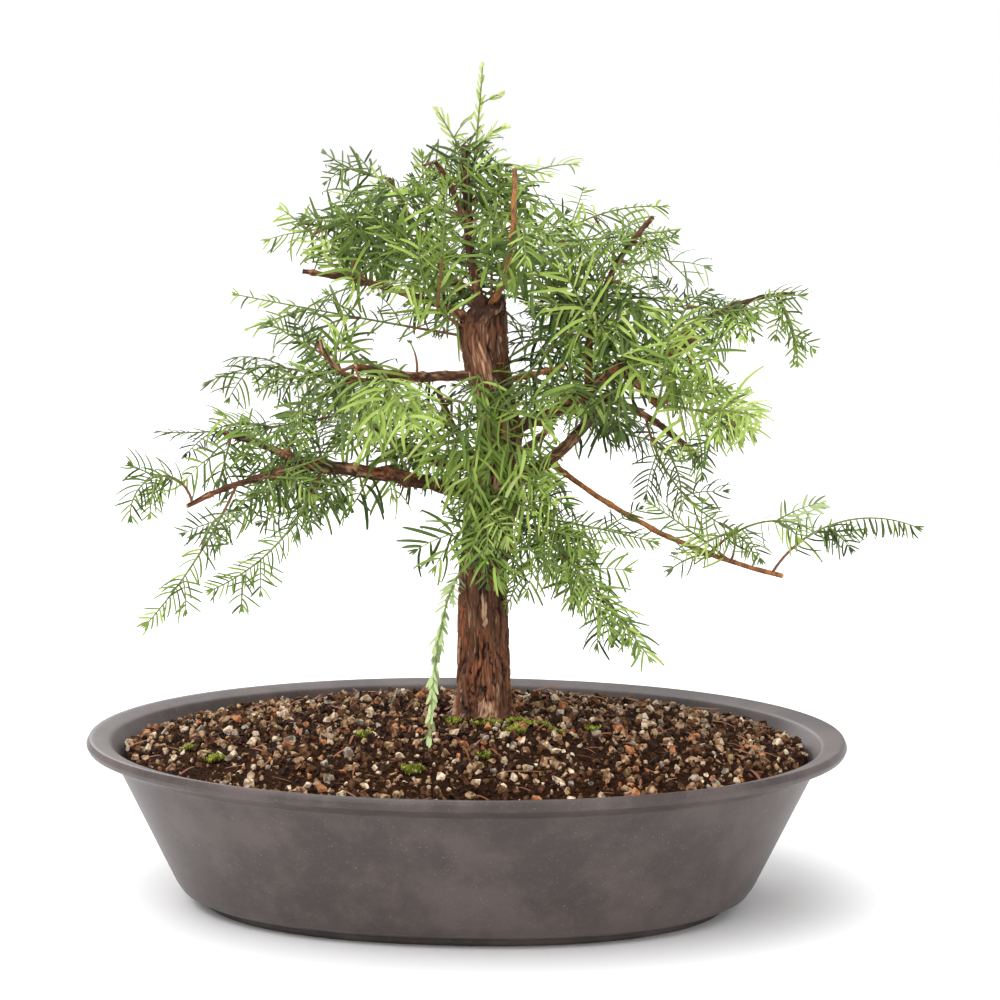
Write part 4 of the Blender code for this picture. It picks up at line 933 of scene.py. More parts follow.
def earth_finish(settings):
    made = Finish("damp_soil", Metallic=0.0, Specular_IOR_Level=0.06)
    lump = made.cloud(2.2, detail=6.0, rough=0.7)
    made.set("Base Color", made.blend(lump.between(0.35, 0.65), dimmed(settings.bed, 0.45), settings.bed))
    made.set("Roughness", 0.82 + lump * 0.15)
    made.bump(lump, 0.7, 0.0010)
    return made.material


def stone_finish(name, dull, light, rough=0.85):
    """Grit: each grain mottled, with pores."""
    made = Finish(name, Metallic=0.0, Specular_IOR_Level=0.20)
    tone = made.cloud(2.2, detail=3.0).between(0.40, 0.60)
    pore = made.cloud(0.55, detail=3.0, rough=0.7)
    base = made.blend(tone, dull, light)
    base = made.blend(pore.between(0.52, 0.68) * 0.6, base, dimmed(dull, 0.35))
    made.set("Base Color", base)
    made.set("Roughness", rough + pore * 0.1)
    made.bump(pore, 0.5, 0.0004)
    return made.material


def bark_finish(name, settings, brown, tan, streak=(1.0, 1.0, 0.16), size=1.4):
    """Fibrous bark: painted shade in the cracks, worn plates and red strips lie where the mesh's own relief
    has them, as do the trunk's darker top and the painted shade on its right side.
    """
    made = Finish(name, Metallic=0.0, Specular_IOR_Level=0.28)
    fibre = made.cloud(size * 0.5, stretch=streak, detail=5.0, rough=0.65)
    patch = made.cloud(size * 6.0, stretch=(1.0, 1.0, 0.4), detail=3.0).between(0.40, 0.62)
    base = made.blend(patch, brown, dimmed(brown, 0.52))
    base = made.blend(made.relief("warm") * 0.80, base, settings.red)
    base = made.blend(made.relief("pale") * 0.95 + fibre.between(0.56, 0.70) * 0.34, base, tan)
    base = made.blend((1.0 - fibre.between(0.30, 0.52)) * 0.34, base, dimmed(brown, 0.35))
    # Painted shade deep in the cracks and splits.
    base = made.blend(made.relief("shade"), base, settings.crack_shade)
    # Darker towards the trunk's top, and painted shade on its right side.
    base = made.blend(made.relief("char"), base, dimmed(settings.crack_shade, 1.3))
    made.set("Base Color", base)
    made.set("Roughness", 0.58 + fibre * 0.28)
    made.bump(fibre + patch * 0.4, 0.55, 0.0005)
    return made.material


def shoot_finish(settings):
    """Young bark: orange and smooth, with darker skins and fine lengthwise lines."""
    made = Finish("young_bark", Metallic=0.0)
    skin = made.cloud(3.4, stretch=(1.0, 1.0, 0.5), detail=3.0)
    line = made.cloud(0.5, stretch=(1.0, 1.0, 0.12), detail=3.0)
    base = made.blend(skin.between(0.40, 0.62), settings.shoot, dimmed(settings.shoot, 0.42))
    base = made.blend(line.between(0.5, 0.72) * 0.45, base, (0.72, 0.42, 0.16))
    # Painted shade in the young bark's small cracks.
    base = made.blend(made.relief("shade") * 0.6, base, settings.crack_shade)
    made.set("Base Color", base)
    made.set("Roughness", 0.42 + skin * 0.2)
    made.bump(line, 0.3, 0.0003)
    return made.material


def sawn_finish(settings):
    made = Finish("sawn_wood", Metallic=0.0)
    grain = made.cloud(0.7, detail=4.0)
    made.set("Base Color", made.blend(grain.between(0.35, 0.7), settings.wood, dimmed(settings.wood, 0.45)))
    made.set("Roughness", 0.7 + grain * 0.1)
    made.bump(grain, 0.3, 0.0002)
    return made.material


def leaf_finish(name, tone, rough=0.44):
    """Plain colour, because the export keeps no pattern in place on thousands of needles."""
    made = Finish(name, Metallic=0.0, Roughness=rough, Specular_IOR_Level=0.30)
    made.shader.inputs["Base Color"].default_value = (*tuple(tone), 1.0)
    made.material.use_backface_culling = False
    return made.material


def twig_finish(name, tone):
    made = Finish(name, Metallic=0.0)
    line = made.cloud(1.6, detail=3.0)
    made.set("Base Color", made.blend(line.between(0.4, 0.7), tone, dimmed(tone, 0.6)))
    made.set("Roughness", 0.5 + line * 0.15)
    return made.material


def needle_recipe():
    """Sets a needle on each point, along the point's own way and face."""
    tree = Recipe(
        "needles_on_points",
        (("Shapes", "NodeSocketCollection"), ("Width", "NodeSocketFloat"), ("Finish", "NodeSocketMaterial")),
    )

    def named(name, kind):
        return tree.add("GeometryNodeInputNamedAttribute", {"data_type": kind}, {"Name": name})

    turned = tree.add(
        "FunctionNodeAxesToRotation",
        {"primary_axis": "Y", "secondary_axis": "Z"},
        {"Primary Axis": named("way", "FLOAT_VECTOR"), "Secondary Axis": named("face", "FLOAT_VECTOR")},
    )
    reach = named("reach", "FLOAT")
    wide = tree.input("Width") * named("wide", "FLOAT")
    scale = tree.add("ShaderNodeCombineXYZ", None, {"X": wide, "Y": reach, "Z": reach})
    placed = tree.add(
        "GeometryNodeInstanceOnPoints",
        None,
        {
            "Points": tree.input("Geometry"),
            "Instance": tree.shapes(),
            "Pick Instance": True,
            "Instance Index": named("shape", "INT"),
            "Rotation": turned,
            "Scale": scale,
        },
    )
    tree.end(placed)
    return tree


def scatter_recipe():
    """Strews shapes over a surface.

    Runs with one seed and different shares strew different points of one set.
    """
    numbers = ("Spacing", "Density", "From", "To", "Least", "Most", "Tumble", "Lift", "Bare")
    others = (
        ("Shapes", "NodeSocketCollection"),
        ("Seed", "NodeSocketInt"),
        ("Finish", "NodeSocketMaterial"),
    )
    tree = Recipe("strewn_on_surface", (*((name, "NodeSocketFloat") for name in numbers), *others))

    def chance(low, high, seed, kind="FLOAT"):
        node = tree.tree.nodes.new("FunctionNodeRandomValue")
        node.data_type = kind
        names = [socket for socket in node.inputs if socket.enabled]
        for socket, value in zip(names, (low, high)):
            tree.feed(socket, value)
        tree.feed([socket for socket in node.inputs if socket.name == "Seed"][0], seed)
        return Socket(tree, [socket for socket in node.outputs if socket.enabled][0])

    def compare(operation, first, second):
        return tree.add("FunctionNodeCompare", {"operation": operation}, {"A": first, "B": second})

    def both(first, second):
        return tree.add("FunctionNodeBooleanMath", {"operation": "AND"}, {0: first, 1: second})

    seed = tree.input("Seed")
    points = tree.add(
        "GeometryNodeDistributePointsOnFaces",
        {"distribute_method": "POISSON"},
        {
            "Mesh": tree.input("Geometry"),
            "Distance Min": tree.input("Spacing"),
            "Density Max": tree.input("Density"),
            "Seed": seed,
        },
    )
    lot = chance(0.0, 1.0, seed + 1.0)
    past = compare("GREATER_EQUAL", lot, tree.input("From"))
    under = compare("LESS_THAN", lot, tree.input("To"))
    position = tree.add("GeometryNodeInputPosition")
    patches = tree.add("ShaderNodeTexNoise", None, {"Vector": position, "Scale": 55.0, "Detail": 2.0})
    covered = compare("GREATER_EQUAL", patches, tree.input("Bare"))
    chosen = both(both(past, under), covered)
    size = chance(0.0, 1.0, seed + 5.0)
    size = tree.input("Least") + (tree.input("Most") - tree.input("Least")) * size * size
    raised = tree.add(
        "GeometryNodeSetPosition",
        None,
        {"Geometry": points, "Offset": tree.add("ShaderNodeCombineXYZ", None, {"Z": tree.input("Lift")})},
    )
    spin = chance((-math.pi,) * 3, (math.pi,) * 3, seed + 2.0, "FLOAT_VECTOR")
    flat = tree.add("ShaderNodeVectorMath", {"operation": "SCALE"}, {0: spin, "Scale": tree.input("Tumble")})
    round_z = tree.add("ShaderNodeCombineXYZ", None, {"Z": chance(-math.pi, math.pi, seed + 3.0)})
    turned = tree.add("ShaderNodeVectorMath", {"operation": "ADD"}, {0: flat, 1: round_z})
    placed = tree.add(
        "GeometryNodeInstanceOnPoints",
        None,
        {
            "Points": raised,
            "Selection": chosen,
            "Instance": tree.shapes(),
            "Pick Instance": True,
            "Instance Index": chance(0, 997, seed + 4.0, "INT"),
            "Rotation": turned,
            "Scale": size,
        },
    )
    tree.end(placed)
    return tree


def strew(recipe, name, ground, shapes, finish, seed, spacing, density, sizes, lift, **more):
    """One piece of shapes strewn over a ground. Lengths in metres."""
    values = {
        "Shapes": shapes,
        "Finish": finish,
        "Seed": seed,
        "Spacing": spacing,
        "Density": density,
        "Least": sizes[0],
        "Most": sizes[1],
        "Lift": lift,
        "Bare": more.get("bare", 0.0),
        "Tumble": more.get("tumble", 1.0),
        "From": more.get("share", (0.0, 1.0))[0],
        "To": more.get("share", (0.0, 1.0))[1],
    }
    recipe.run(name, ground, values)


def shape_collection(name, meshes):
    """A collection of the shapes that a recipe picks from."""
    home = bpy.data.collections.new(name)
    bpy.context.scene.collection.children.link(home)
    for number, mesh in enumerate(meshes):
        put(f"{name}_{number}", mesh, home)
    return home


def drop_collection(home):
    discard(*home.objects)
    bpy.data.collections.remove(home)


def needle_mesh(name, droop, sweep, fold=0.22):
    """One flat needle of unit length and width along Y, folded at its midrib and blunt.

    Its tip drops by droop and swings to one side by sweep.
    """
    rows = ((0.0, 0.32), (0.13, 0.86), (0.34, 1.0), (0.56, 1.0), (0.76, 0.86), (0.91, 0.58))
    points, faces = [], []
    for t, wide in rows:
        middle = sweep * t * t
        level = -droop * t * t
        rib = (middle, t, level - fold * 0.06)
        points += [(middle - wide / 2, t, level), rib, (middle + wide / 2, t, level)]
    points.append((sweep, 1.0 - 0.35 * droop, -droop))
    for row in range(len(rows) - 1):
        a, b = row * 3, row * 3 + 3
        faces += [(a, a + 1, b + 1, b), (a + 1, a + 2, b + 2, b + 1)]
    last = (len(rows) - 1) * 3
    faces += [(last, last + 1, last + 3), (last + 1, last + 2, last + 3)]
    return mesh_of(name, points, faces)


def stone_mesh(name, draw, count=16, stretch=(1.0, 0.8, 0.65)):
    """A broken grain about one unit long: the hull of points on a rough ellipsoid."""
    bm = bmesh.new()
    for _ in range(count):
        way = Vector([draw.gauss(0.0, 1.0) for _ in range(3)]).normalized()
        reach = 0.5 * draw.uniform(0.82, 1.0)
        bm.verts.new([way[i] * reach * stretch[i] for i in range(3)])
    hull = bmesh.ops.convex_hull(bm, input=bm.verts[:])
    loose = [item for item in hull["geom_interior"] if isinstance(item, bmesh.types.BMVert)]
    bmesh.ops.delete(bm, geom=loose, context="VERTS")
    bmesh.ops.recalc_face_normals(bm, faces=bm.faces[:])
    mesh = bpy.data.meshes.new(name)
    bm.to_mesh(mesh)
    bm.free()
    return mesh


def build_pot(settings):
    """Rings of the pot with a support ring on each side of every edge, then smoothed."""
    rings = [POT_RINGS[0]]
    edge = settings.edge / MM
    for before, ring, after in zip(POT_RINGS[:-2], POT_RINGS[1:-1], POT_RINGS[2:]):
        for other in (before, None, after):
            if other is None:
                rings.append(ring)
                continue
            far = math.hypot(other[0] - ring[0], other[2] - ring[2])
            share = min(0.34, edge / far)
            rings.append(tuple(a + (b - a) * share for a, b in zip(ring, other)))
    rings.append(POT_RINGS[-1])
    sides = settings.sides
    points = [ring_of(*row, sides) for row in rings]
    base = [ring_of(row * 98.0, row * 70.0, 1.1, 2.25, sides) for row in (0.06, 0.55)]
    floor = [ring_of(row * 109.0, row * 80.5, 7.0, 2.22, sides) for row in (0.55, 0.06)]
    levels = base + points + floor
    faces = ring_faces(len(levels), sides)
    faces.append(tuple(reversed(range(sides))))
    faces.append(tuple(range((len(levels) - 1) * sides, len(levels) * sides)))
    rough = put("pot_rings", mesh_of("pot_rings", np.concatenate(levels), faces))
    finer = rough.modifiers.new("smooth", "SUBSURF")
    finer.levels = finer.render_levels = 1
    graph = bpy.context.evaluated_depsgraph_get()
    mesh = bpy.data.meshes.new_from_object(rough.evaluated_get(graph))
    mesh.name = "pot_wall"
    discard(rough)
    mesh.polygons.foreach_set("use_smooth", [True] * len(mesh.polygons))
    add_piece("pot_wall", mesh, clay_finish(settings), ["pot"])


# Sides of the soil's rings, how far its skirt goes out under the edge and the skirt's height, in mm.
BED_SIDES = 168
SKIRT_OUT = 1.2
SKIRT_HEIGHT = 57.6


def bed_mesh(name, low=0.0, high=1.0, rings=44, sides=BED_SIDES, rough=0.5):
    """The mound's surface between two shares of its rise, with small lumps."""
    levels = []
    for share in np.linspace(low, high, rings):
        half_width, half_depth, edge, square = SOIL_EDGE
        wide = half_width + (MOUND_TOP - half_width) * share
        deep = half_depth + (MOUND_TOP - half_depth) * share
        rise = MOUND_RISE * (1.0 - (1.0 - share) ** 2)
        trunk_x = TRUNK_RINGS[0][1]
        levels.append(ring_of(wide, deep, edge + rise, square, sides, (trunk_x * share, TRUNK_BACK * share)))
    levels.append(ring_of(3.0, 3.0, SOIL_EDGE[2] + MOUND_RISE, 2.0, sides, (TRUNK_RINGS[0][1], TRUNK_BACK)))
    points = np.concatenate(levels)
    lumps = [noise.fractal(Vector(p) / (6.0 * MM), 1.0, 2.0, 4) for p in points.tolist()]
    points[:, 2] += np.array(lumps) * rough * MM
    faces = ring_faces(len(levels), sides)
    last = (len(levels) - 1) * sides
    faces.append(tuple(range(last, last + sides)))
    return mesh_of(name, points, faces)


def build_bed(settings):
    """The soil's surface and a skirt that closes it below."""
    half_width, half_depth, edge, square = SOIL_EDGE
    skirt = ring_of(half_width + SKIRT_OUT, half_depth + SKIRT_OUT, SKIRT_HEIGHT, square, BED_SIDES)
    mesh = bed_mesh("soil_bed")
    bm = bmesh.new()
    bm.from_mesh(mesh)
    bm.verts.ensure_lookup_table()
    top = [bm.verts[i] for i in range(BED_SIDES)]
    low = [bm.verts.new(point) for point in skirt]
    for i in range(BED_SIDES):
        j = (i + 1) % BED_SIDES
        bm.faces.new((low[i], low[j], top[j], top[i]))
    bm.faces.new(tuple(reversed(low)))
    for face in bm.faces:
        face.smooth = True
    bm.to_mesh(mesh)
    bm.free()
    add_piece("soil_bed", mesh, earth_finish(settings), ["soil"])


# Grit: name, share of all stones, its dull and light colours.
GRIT = (
    ("grit_black", 0.19, (0.012, 0.004, 0.002), (0.050, 0.020, 0.009)),
    ("grit_brown", 0.31, (0.046, 0.017, 0.007), (0.170, 0.080, 0.036)),
    ("grit_tan", 0.25, (0.150, 0.074, 0.034), (0.560, 0.370, 0.215)),
    ("grit_cream", 0.12, (0.400, 0.260, 0.150), (0.940, 0.770, 0.560)),
    ("grit_grey", 0.07, (0.130, 0.096, 0.070), (0.500, 0.420, 0.330)),
    ("grit_orange", 0.06, (0.280, 0.090, 0.034), (0.620, 0.290, 0.130)),
)


# Crumbs: name, share of all crumbs from and to, their dull and light colours.
CRUMBS = (
    ("crumbs_dark", 0.0, 0.80, (0.014, 0.005, 0.002), (0.050, 0.021, 0.009)),
    ("crumbs_light", 0.80, 1.0, (0.120, 0.056, 0.028), (0.400, 0.240, 0.130)),
)
# Most stones or crumbs to a square metre.
GRIT_DENSITY = 400000.0


def build_grit(settings):
    draw = random.Random(SEED)
    stones = shape_collection("grit_shapes", [stone_mesh(f"grain_{i}", draw, 13) for i in range(9)])
    crumbs = shape_collection("crumb_shapes", [stone_mesh(f"crumb_{i}", draw, 8) for i in range(6)])
    recipe = scatter_recipe()
    bed = put("grit_ground", bed_mesh("grit_ground", 0.0, 0.985))
    sizes = (settings.least, settings.most)
    start = 0.0
    for name, share, dull, light in GRIT:
        finish = stone_finish(name, dull, light)
        how = {"share": (start, start + share), "bare": 0.37}
        strew(recipe, name, bed, stones, finish, SEED, settings.spacing, GRIT_DENSITY, sizes, 0.4 * MM, **how)
        start += share
    sizes = (1.2 * MM, 3.0 * MM)
    for name, low, high, dull, light in CRUMBS:
        finish, how = stone_finish(name, dull, light), {"share": (low, high)}
        fines = settings.fines
        strew(recipe, name, bed, crumbs, finish, SEED + 50, fines, GRIT_DENSITY, sizes, 0.2 * MM, **how)
    discard(bed)
    drop_collection(stones)
    drop_collection(crumbs)
    bpy.data.node_groups.remove(recipe.tree)


# Moss: middle of each tuft in mm, and its radius.
MOSS = (
    (10.0, -11.0, 6.5),
    (21.0, -11.0, 6.0),
    (31.0, -15.0, 5.0),
    (24.0, -24.0, 6.0),
    (38.0, -24.0, 4.0),
    (-3.0, -10.0, 4.0),
    (52.0, -14.0, 3.0),
    (-103.0, -38.0, 6.5),
    (-92.0, -52.0, 4.0),
    (-12.0, -74.0, 4.5),
    (-36.0, -34.0, 3.5),
    (14.0, -58.0, 3.0),
)


def patch_mesh(name, places, rings=4, sides=14):
    """Small round patches that lie on the mound."""
    parts = Parts()
    for x, y, radius in places:
        points = []
        for ring in range(1, rings + 1):
            for i in range(sides):
                angle = 2.0 * math.pi * i / sides
                px = x + radius * ring / rings * math.cos(angle)
                py = y + radius * ring / rings * math.sin(angle)
                height = float(mound_height(px, py)) + 0.9 * (1.0 - ring / rings)
                points.append((px * MM, py * MM, height * MM))
        middle = tuple(range((rings - 1) * sides, rings * sides))
        parts.add(points[::-1], ring_faces(rings, sides) + [middle])
    mesh = parts.mesh(name)
    bm = bmesh.new()
    bm.from_mesh(mesh)
    for face in bm.faces:
        if face.normal.z < 0.0:
            face.normal_flip()
    bm.to_mesh(mesh)
    bm.free()
    return mesh


def moss_mesh(name, draw):
    """A star of short pointed leaves, one unit tall."""
    parts = Parts()
    for i in range(7):
        angle = 2.0 * math.pi * i / 7 + draw.uniform(-0.3, 0.3)
        out = Vector((math.cos(angle), math.sin(angle), 0.0))
        side = Vector((-out.y, out.x, 0.0)) * 0.13
        lean = draw.uniform(0.25, 0.75)
        rise = Vector((0.0, 0.0, draw.uniform(0.6, 1.0)))
        middle = out * lean * 0.5 + rise * 0.6
        tip = out * lean + rise
        parts.add([-side, side, middle + side, middle - side, tip], [(0, 1, 2, 3), (3, 2, 4)])
    return parts.mesh(name, smooth=False)


def build_moss(settings):
    """Tufts of moss on the soil, and fallen needles."""
    draw = random.Random(SEED + 7)
    tufts = shape_collection("moss_shapes", [moss_mesh(f"moss_star_{i}", draw) for i in range(4)])
    ground = put("moss_ground", patch_mesh("moss_ground", MOSS))
    recipe = scatter_recipe()
    sizes = (1.0 * MM, 2.3 * MM)
    for name, low, high, share in (("moss_light", 0.0, 0.55, 1.0), ("moss_dark", 0.55, 1.0, 0.45)):
        finish = leaf_finish(name, dimmed(settings.moss, share), 0.6)
        how = {"share": (low, high), "bare": 0.43, "tumble": 0.10}
        strew(recipe, name, ground, tufts, finish, SEED + 9, 0.75 * MM, 3000000.0, sizes, 0.5 * MM, **how)
    discard(ground)
    drop_collection(tufts)
    leaves = [needle_mesh(f"litter_{i}", 0.1 + 0.2 * i, 0.02 * i, 0.01) for i in range(3)]
    dead = shape_collection("litter_shapes", leaves)
    for leaf in leaves:
        for vert in leaf.vertices:
            vert.co.x *= 0.12
    bed = put("litter_ground", bed_mesh("litter_ground", 0.05, 0.97))
    finish = leaf_finish("fallen_needles", (0.23, 0.085, 0.035), 0.7)
    sizes = (6.0 * MM, 13.0 * MM)
    how = {"share": (0.0, 0.45), "tumble": 0.07}
    strew(recipe, "fallen_needles", bed, dead, finish, SEED + 21, 7.0 * MM, 60000.0, sizes, 2.1 * MM, **how)
    discard(bed)
    drop_collection(dead)
    bpy.data.node_groups.remove(recipe.tree)


def limb_paths():
    """The boughs' centre lines by name, from the same table and rule as the solids."""
    paths = {}
    for name, parent, where, heading, rise, length, turn, lift, base, tip in BOUGHS:
        start = trunk_point(where) if parent == "trunk" else path_point(paths[parent], where)
        paths[name] = grow_path(start, heading, rise, length * MM, turn, lift)
    return paths


def build_trunk(settings):
    """The trunk's rings drawn out to fine bark, with a collar round each bough and a ragged, sawn top."""
    sides = TRUNK_SIDES
    heights = np.array([row[0] for row in TRUNK_RINGS])
    top = TRUNK_RINGS[-3][0]
    levels = np.arange(TRUNK_FOOT, heights[-1], settings.gap / MM)
    levels = levels[: int(TRUNK_TRIANGLES / (2 * sides))]
    offset = np.interp(levels, heights, [row[1] for row in TRUNK_RINGS])
    radius = np.interp(levels, heights, [row[2] for row in TRUNK_RINGS])
    kernel = np.ones(9) / 9.0
    for values in (offset, radius):
        values[4:-24] = np.convolve(values, kernel, "same")[4:-24]
    angle = angles(sides)
    flare = FLARE * np.exp(-np.maximum(levels - heights[0], 0.0) / FLARE_FADE)
    grid_a, grid_z = np.meshgrid(angle, levels)
    lobes = flare[:, None] * np.cos(FLARE_LOBES * angle + 0.8)[None]
    furrow = FURROW * np.sin(7.0 * grid_a + 0.05 * grid_z)
    furrow = furrow + 0.6 * FURROW * np.sin(3.0 * grid_a - 0.03 * grid_z)
    wide = radius[:, None] * (1.0 + lobes + furrow)
    flat_x, flat_y = (wide * np.cos(grid_a)).ravel(), (wide * np.sin(grid_a)).ravel()
    flat_a, flat_z = grid_a.ravel(), grid_z.ravel()
    relief, shade, pale, warm = bark_relief(flat_x, flat_y, flat_z, 1.0, 0.0)
    fade = smooth_step(flat_z, *TOP_SMOOTH)
    collar = np.zeros_like(wide)
    for name, parent, where, heading, rise, length, turn, lift, base, tip in BOUGHS:
        if parent != "trunk":
            continue
        turned = (grid_a - math.radians(heading) + np.pi) % (2.0 * np.pi) - np.pi
        up = grid_z - where - radius[:, None] * math.tan(math.radians(min(rise, 55.0))) * 0.8
        away = (turned * wide) ** 2 + (up * 0.75) ** 2
        collar += base * COLLAR_RISE * np.exp(-away / (2.0 * (base * COLLAR_REACH) ** 2))
    wide = wide.ravel() + relief * (0.35 + 0.65 * fade) * 0.82 + collar.ravel()
    ragged = np.array([noise.noise(Vector((math.cos(a) * 2.2, math.sin(a) * 2.2, 5.0))) for a in angle])
    torn = np.array([noise.noise(Vector((math.cos(a) * 7.0, math.sin(a) * 7.0, 9.0))) for a in angle])
    lifted = smooth_step(grid_z, *TOP_RAGGED) * (ragged * 4.5 + torn * 2.0)[None]
    x = wide * np.cos(flat_a)
    y = wide * np.sin(flat_a)
    slant = np.where(flat_z > top, TOP_SLANT, 0.0) * x
    z = flat_z + slant + lifted.ravel()
    centre = np.repeat(offset, sides)
    points = np.stack([x + centre, y + TRUNK_BACK, z], axis=-1) * MM
    # The bark darkens towards the torn top, and painted shade darkens the upper trunk's right side.
    darker = smooth_step(flat_z, *TOP_DARK) * 0.75
    right = 0.5 * smooth_step(np.cos(flat_a + 0.25), 0.45, 1.0) * smooth_step(flat_z, *RIGHT_PAINTED_SHADE)
    char = np.clip(np.maximum(darker, right), 0.0, 1.0)
    ends = np.array([[offset[0], TRUNK_BACK, levels[0]], [offset[-1], TRUNK_BACK, levels[-1] - 1.2]]) * MM
    faces = ring_faces(len(levels), sides) + cap_faces(len(points), sides)
    extra = np.array([0.5, 0.8])
    mesh = mesh_of(
        "trunk_bark",
        np.concatenate([points, ends]),
        faces,
        values={
            "shade": np.concatenate([shade, extra]),
            "pale": np.concatenate([pale, extra * 0.0]),
            "warm": np.concatenate([warm, extra * 0.0]),
            "char": np.concatenate([char, extra]),
        },
    )
    finish = bark_finish("trunk_bark", settings, settings.brown, settings.tan)
    add_piece("trunk_bark", mesh, finish, ["trunk"])


# Share of the solid's radius that a bough's bark keeps on average, so that its knots don't stand out.
BARK_INSET = 0.88
# Step of a bough's mesh in mm.
LIMB_STEP = 0.62
# A bough's knots: how far they swell, as a share of its base radius, half their length in mm,
# and the least and most mm from one to the next.
KNOT = 0.22
KNOT_HALF = 0.9
KNOT_GAP = (7.0, 13.0)
# Base radius in mm above which a bough is coarse, then sides and plate size of coarse and fine ones.
COARSE_FROM = 2.8
COARSE = (22, 0.62)
FINE = (16, 0.42)
SHOOT_PLATES = 0.25


def limb_mesh(parts, path, base, tip, sides, coarse, start, draw):
    """One bough's bark: a gently crooked tube that swells at its foot and at its nodes."""
    fine = resample(path, LIMB_STEP * MM)
    count = len(fine)
    walked = walk(fine) / MM
    whole = walked[-1]
    ease = np.sin(np.pi * np.clip(walked / whole, 0.0, 1.0)) ** 0.5
    for axis in range(3):
        bend = np.array([noise.noise(Vector((s / 9.0, start + axis * 3.0, 0.5))) for s in walked])
        fine[:, axis] += bend * ease * 0.85 * MM * (base / 2.2)
    radii = np.interp(walked, [0.0, whole], [base, tip])
    radii += base * 0.55 * np.exp(-walked / (base * 1.6))
    place = draw.uniform(6.0, 10.0)
    while place < whole - 2.0:
        swell = KNOT * base * draw.uniform(0.5, 1.1)
        radii += swell * np.exp(-((walked - place) ** 2) / (2.0 * KNOT_HALF**2))
        place += draw.uniform(*KNOT_GAP)
    angle = angles(sides)
    ring_x = (radii[:, None] * np.cos(angle)[None]).ravel()
    ring_y = (radii[:, None] * np.sin(angle)[None]).ravel()
    relief, shade, pale, warm = bark_relief(ring_x, ring_y, np.repeat(walked, sides), coarse, start)
    swell = (relief * 0.45).reshape(count, sides)
    points, faces = tube_of(fine, radii * MM, sides, swell * MM)
    ends = np.array([0.3, 0.3])
    parts.add(
        points,
        faces,
        # Painted shade in the boughs' cracks, a little lighter than on the trunk.
        shade=np.concatenate([shade * 0.85, ends]),
        pale=np.concatenate([pale, ends * 0.0]),
        warm=np.concatenate([warm, ends * 0.0]),
        # The boughs get no darker top and no painted shade on one side.
        char=np.zeros(len(points)),
    )
    return fine, radii


def build_boughs(settings):
    paths = limb_paths()
    old, young, sawn = Parts(), Parts(), Parts()
    for number, row in enumerate(BOUGHS):
        name, base, tip = row[0], row[8] * BARK_INSET, row[9] * BARK_INSET
        draw = random.Random(SEED + 100 + number)
        fresh = name in YOUNG
        sides, coarse = COARSE if base > COARSE_FROM else FINE
        if fresh:
            coarse = SHOOT_PLATES
        home = young if fresh else old
        fine, radii = limb_mesh(home, paths[name], base, tip, sides, coarse, 40.0 * (number + 1), draw)
        if name in SAWN:
            way = fine[-1] - fine[-3]
            way = way / np.linalg.norm(way)
            line = fine[-1] + np.outer(np.array([-0.35, 0.12, 0.22]) * MM, way)
            wide = radii[-1] * MM
            points, faces = tube_of(line, [wide * 0.9, wide * 0.9, wide * 0.72], 14)
            sawn.add(points, faces)
    old_names = [row[0] for row in BOUGHS if row[0] not in YOUNG]
    bark = bark_finish("bough_bark", settings, settings.bough, settings.flake, (1.0, 1.0, 0.8), 0.9)
    add_piece("bough_bark", old.mesh("bough_bark"), bark, old_names)
    add_piece("young_shoots", young.mesh("young_shoots"), shoot_finish(settings), YOUNG)
    add_piece("sawn_ends", sawn.mesh("sawn_ends"), sawn_finish(settings))


# Needle length in mm at which a frond starts to grow untidily, and how much longer the untidiest are.
WILD_FROM = 10.5
WILD_OVER = 3.0
# A side spray longer than this carries sprays of its own, of this length. Both in mm.
FINER_FROM = 24.0
FINER_REACH = 11.0
# Young growth has needles shorter than this, in mm, that point up along their twig.
YOUNG_NEEDLE = 8.5
# How much longer the needles of the untidiest fronds are than the table says, as a share.
LONGER = 0.28
# How far in metres a needle may reach past the box of the solids.
NEEDLE_SPARE = 0.006
# Turn in degrees of the needles at a frond's tip.
TIP_FAN = (-17.0, 0.0, 16.0)


